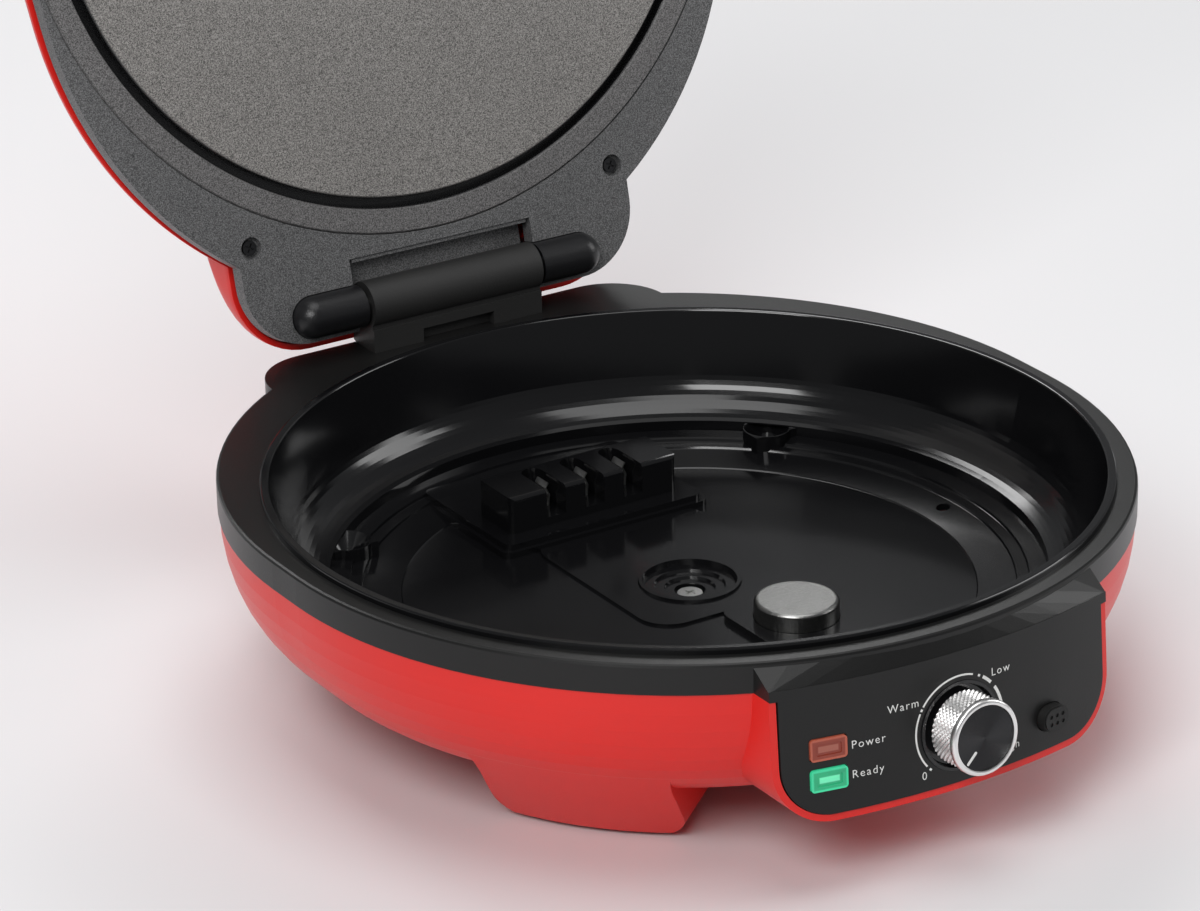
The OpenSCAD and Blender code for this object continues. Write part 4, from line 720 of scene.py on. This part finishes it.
# %% Lid shell
LIP_Z, DOME_H, DOME_POWER, WALL = 125.3, 30.0, 2.2, 2.5
CIRCLES = ((PLATE_R, -PLATE_Y), (161.0, 24.5))
EAR_HALF, EAR_BACK, EAR_CORNER, EAR_FRONT = 92.5, 197.0, 31.0, 100.0
CROWN_H, CROWN_BACK, CROWN_POWER = 21.5, 47.0, 2.4
DOME_LEVELS, DOME_STEPS, CROWN_LEVELS, CORNER_STEPS = 26, 240, 14, 12
DOME_END, CROWN_END = 88.0, 90.0     # the dome stops short of its pole, and a flat cap closes it
LIP_EDGE = 0.5


def dome_loop(narrow, z):
    """The outline round both circles, each shrunk by the factor narrow."""
    loop = []
    for k in range(DOME_STEPS):
        a = 2 * math.pi * k / DOME_STEPS
        r, y = max(CIRCLES, key=lambda c: c[0] * narrow + c[1] * math.sin(a))
        loop.append(Vector((r * narrow * math.cos(a), y + r * narrow * math.sin(a), z)))
    return loop


def crown_loop(back, z):
    """The ears' outline, open to the front, with its rear edge at back."""
    corner_y = back - EAR_CORNER
    loop = [Vector((-EAR_HALF, EAR_FRONT, z))]
    for side, start in ((-1, 180), (1, 90)):
        for k in range(CORNER_STEPS + 1):
            a = math.radians(start - 90 * k / CORNER_STEPS)
            loop.append(Vector((side * (EAR_HALF - EAR_CORNER) + EAR_CORNER * math.cos(a),
                                corner_y + EAR_CORNER * math.sin(a), z)))
    return loop + [Vector((EAR_HALF, EAR_FRONT, z))]


def rise(bm, loops, closed):
    """Builds a wall by extruding each outline to the next, and caps the last one."""
    ring = [bm.verts.new(point) for point in loops[0]]
    pairs = list(zip(ring, ring[1:] + ring[:1])) if closed else list(zip(ring, ring[1:]))
    edges = [bm.edges.new(pair) for pair in pairs]
    for loop in loops[1:]:
        made = bmesh.ops.extrude_edge_only(bm, edges=edges)["geom"]
        verts = [g for g in made if isinstance(g, bmesh.types.BMVert)]
        edges = [g for g in made if isinstance(g, bmesh.types.BMEdge)
                 and all(v in verts for v in g.verts)]
        above = {}
        for vert in verts:
            below = [e.other_vert(vert) for e in vert.link_edges if e.other_vert(vert) not in verts]
            foot = min(below, key=lambda v: (v.co - vert.co).length)
            above[vert] = ring.index(foot)
        fresh = [None] * len(ring)
        for vert, index in above.items():
            vert.co = loop[index]
            fresh[index] = vert
        ring = fresh
    bm.faces.new(ring)


bm = bmesh.new()
power = 2 / DOME_POWER
angles = [math.radians(DOME_END * k / DOME_LEVELS) for k in range(DOME_LEVELS + 1)]
rise(bm, [dome_loop(math.cos(a) ** power, LIP_Z + DOME_H * math.sin(a) ** power)
          for a in angles], True)
power = 2 / CROWN_POWER
angles = [math.radians(CROWN_END * k / CROWN_LEVELS) for k in range(CROWN_LEVELS + 1)]
rise(bm, [crown_loop(EAR_BACK - CROWN_BACK + CROWN_BACK * math.cos(a) ** power,
                     LIP_Z + CROWN_H * math.sin(a) ** power) for a in angles], False)
bmesh.ops.recalc_face_normals(bm, faces=bm.faces)
lid_dome = finish_piece("lid_dome", bm, red_gloss, "lid", OPEN_LID)
wall = lid_dome.modifiers.new("wall", "SOLIDIFY")
wall.thickness = WALL * MM
wall.offset = -1.0
edge = lid_dome.modifiers.new("edge", "BEVEL")
edge.width = LIP_EDGE * MM
edge.segments = 2
edge.limit_method = "ANGLE"
edge.angle_limit = math.radians(50)
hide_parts("lid_shell")
print("lid shell:", len(lid_dome.data.polygons), "faces")

# %% [markdown]
# Through the hinge window one looks at a short wall and a ceiling that close the hollow of the lid
# off. Both are one bent sheet of the same coated metal as the flange: a flat strip along its front
# edge, extruded up and then back, and given its gauge.

# %% Hood of the hinge window
HOOD_HALF, HOOD_FRONT, HOOD_BACK, HOOD_TOP, HOOD_T = 41.9, 162.2, 185.5, 124.4, 1.8
HOOD_LIFT = 1        # its foot starts this far above the flange's face
bm = bmesh.new()
foot = [bm.verts.new((side * HOOD_HALF, HOOD_FRONT, FLANGE_Z + HOOD_LIFT)) for side in (-1, 1)]
strip = [bm.edges.new(foot)]
rise_up = (0, 0, HOOD_TOP - HOOD_T - FLANGE_Z - HOOD_LIFT)
run_back = (0, HOOD_BACK - HOOD_FRONT, 0)
for move in (rise_up, run_back):
    made = bmesh.ops.extrude_edge_only(bm, edges=strip)["geom"]
    ends = [g for g in made if isinstance(g, bmesh.types.BMVert)]
    strip = [g for g in made if isinstance(g, bmesh.types.BMEdge)
             and all(v in ends for v in g.verts)]
    bmesh.ops.translate(bm, vec=move, verts=ends)
bmesh.ops.recalc_face_normals(bm, faces=bm.faces)
bmesh.ops.solidify(bm, geom=bm.faces[:] + bm.edges[:] + bm.verts[:], thickness=HOOD_T)
bmesh.ops.recalc_face_normals(bm, faces=bm.faces)
finish_piece("hinge_hood", bm, flange_speckle, "lid", OPEN_LID, smooth=False)
print("hinge hood:", HOOD_HALF * 2, "mm wide")

# %% [markdown]
# ## Room
# A pale floor, which fills the picture from the first camera, is the background too. The light is
# soft: a dim pale world, a key lamp from the front left, a strip behind, a fill from the right and a lamp
# overhead. They are set so low that a colour renders about as it is written.

# %% Floor, world and lamps
FLOOR_HALF = 6.0
WORLD_COLOR, WORLD_STRENGTH = (0.82, 0.83, 0.85), 0.22
# Each lamp with its place, its aim, its size and its power, in metres and watts
LAMPS = (("key", (-1.5, -1.2, 1.7), (0, 0, 0.15), (1.3, 1.0), 35.0),
         ("rear_strip", (0.35, 1.6, 1.5), (0, 0, 0.1), (1.8, 0.6), 22.0),
         ("right_fill", (1.9, -0.7, 1.1), (0, 0, 0.15), (0.9, 1.3), 14.0),
         ("overhead", (0.0, -0.2, 2.2), (0, 0, 0), (1.4, 1.4), 17.0))

bm = bmesh.new()
bmesh.ops.create_grid(bm, x_segments=1, y_segments=1, size=FLOOR_HALF)
floor_mesh = bpy.data.meshes.new("floor")
bm.to_mesh(floor_mesh)
bm.free()
floor = bpy.data.objects.new("floor", floor_mesh)
bpy.context.scene.collection.objects.link(floor)
pale_floor = Finish("pale_floor", (0.72, 0.72, 0.73), 0.6)
pale_floor.set("Roughness", 0.55 + pale_floor.noise(4.0) * 0.1)
floor_mesh.materials.append(pale_floor.material)

world = bpy.data.worlds.new("studio")
bpy.context.scene.world = world
world.use_nodes = True
background = world.node_tree.nodes["Background"]
background.inputs["Color"].default_value = (*WORLD_COLOR, 1.0)
background.inputs["Strength"].default_value = WORLD_STRENGTH


def soft_lamp(name, place, target, size, power):
    """A rectangular area lamp at a place, aimed at a target."""
    data = bpy.data.lights.new(name, "AREA")
    data.shape = "RECTANGLE"
    data.size = size[0]
    data.size_y = size[1]
    data.energy = power
    lamp = bpy.data.objects.new(name, data)
    bpy.context.scene.collection.objects.link(lamp)
    lamp.location = place
    lamp.rotation_mode = "QUATERNION"
    lamp.rotation_quaternion = (Vector(target) - Vector(place)).to_track_quat("-Z", "Y")


for lamp_settings in LAMPS:
    soft_lamp(*lamp_settings)
bpy.context.scene.view_settings.view_transform = "Standard"
print("lamps:", len(LAMPS))
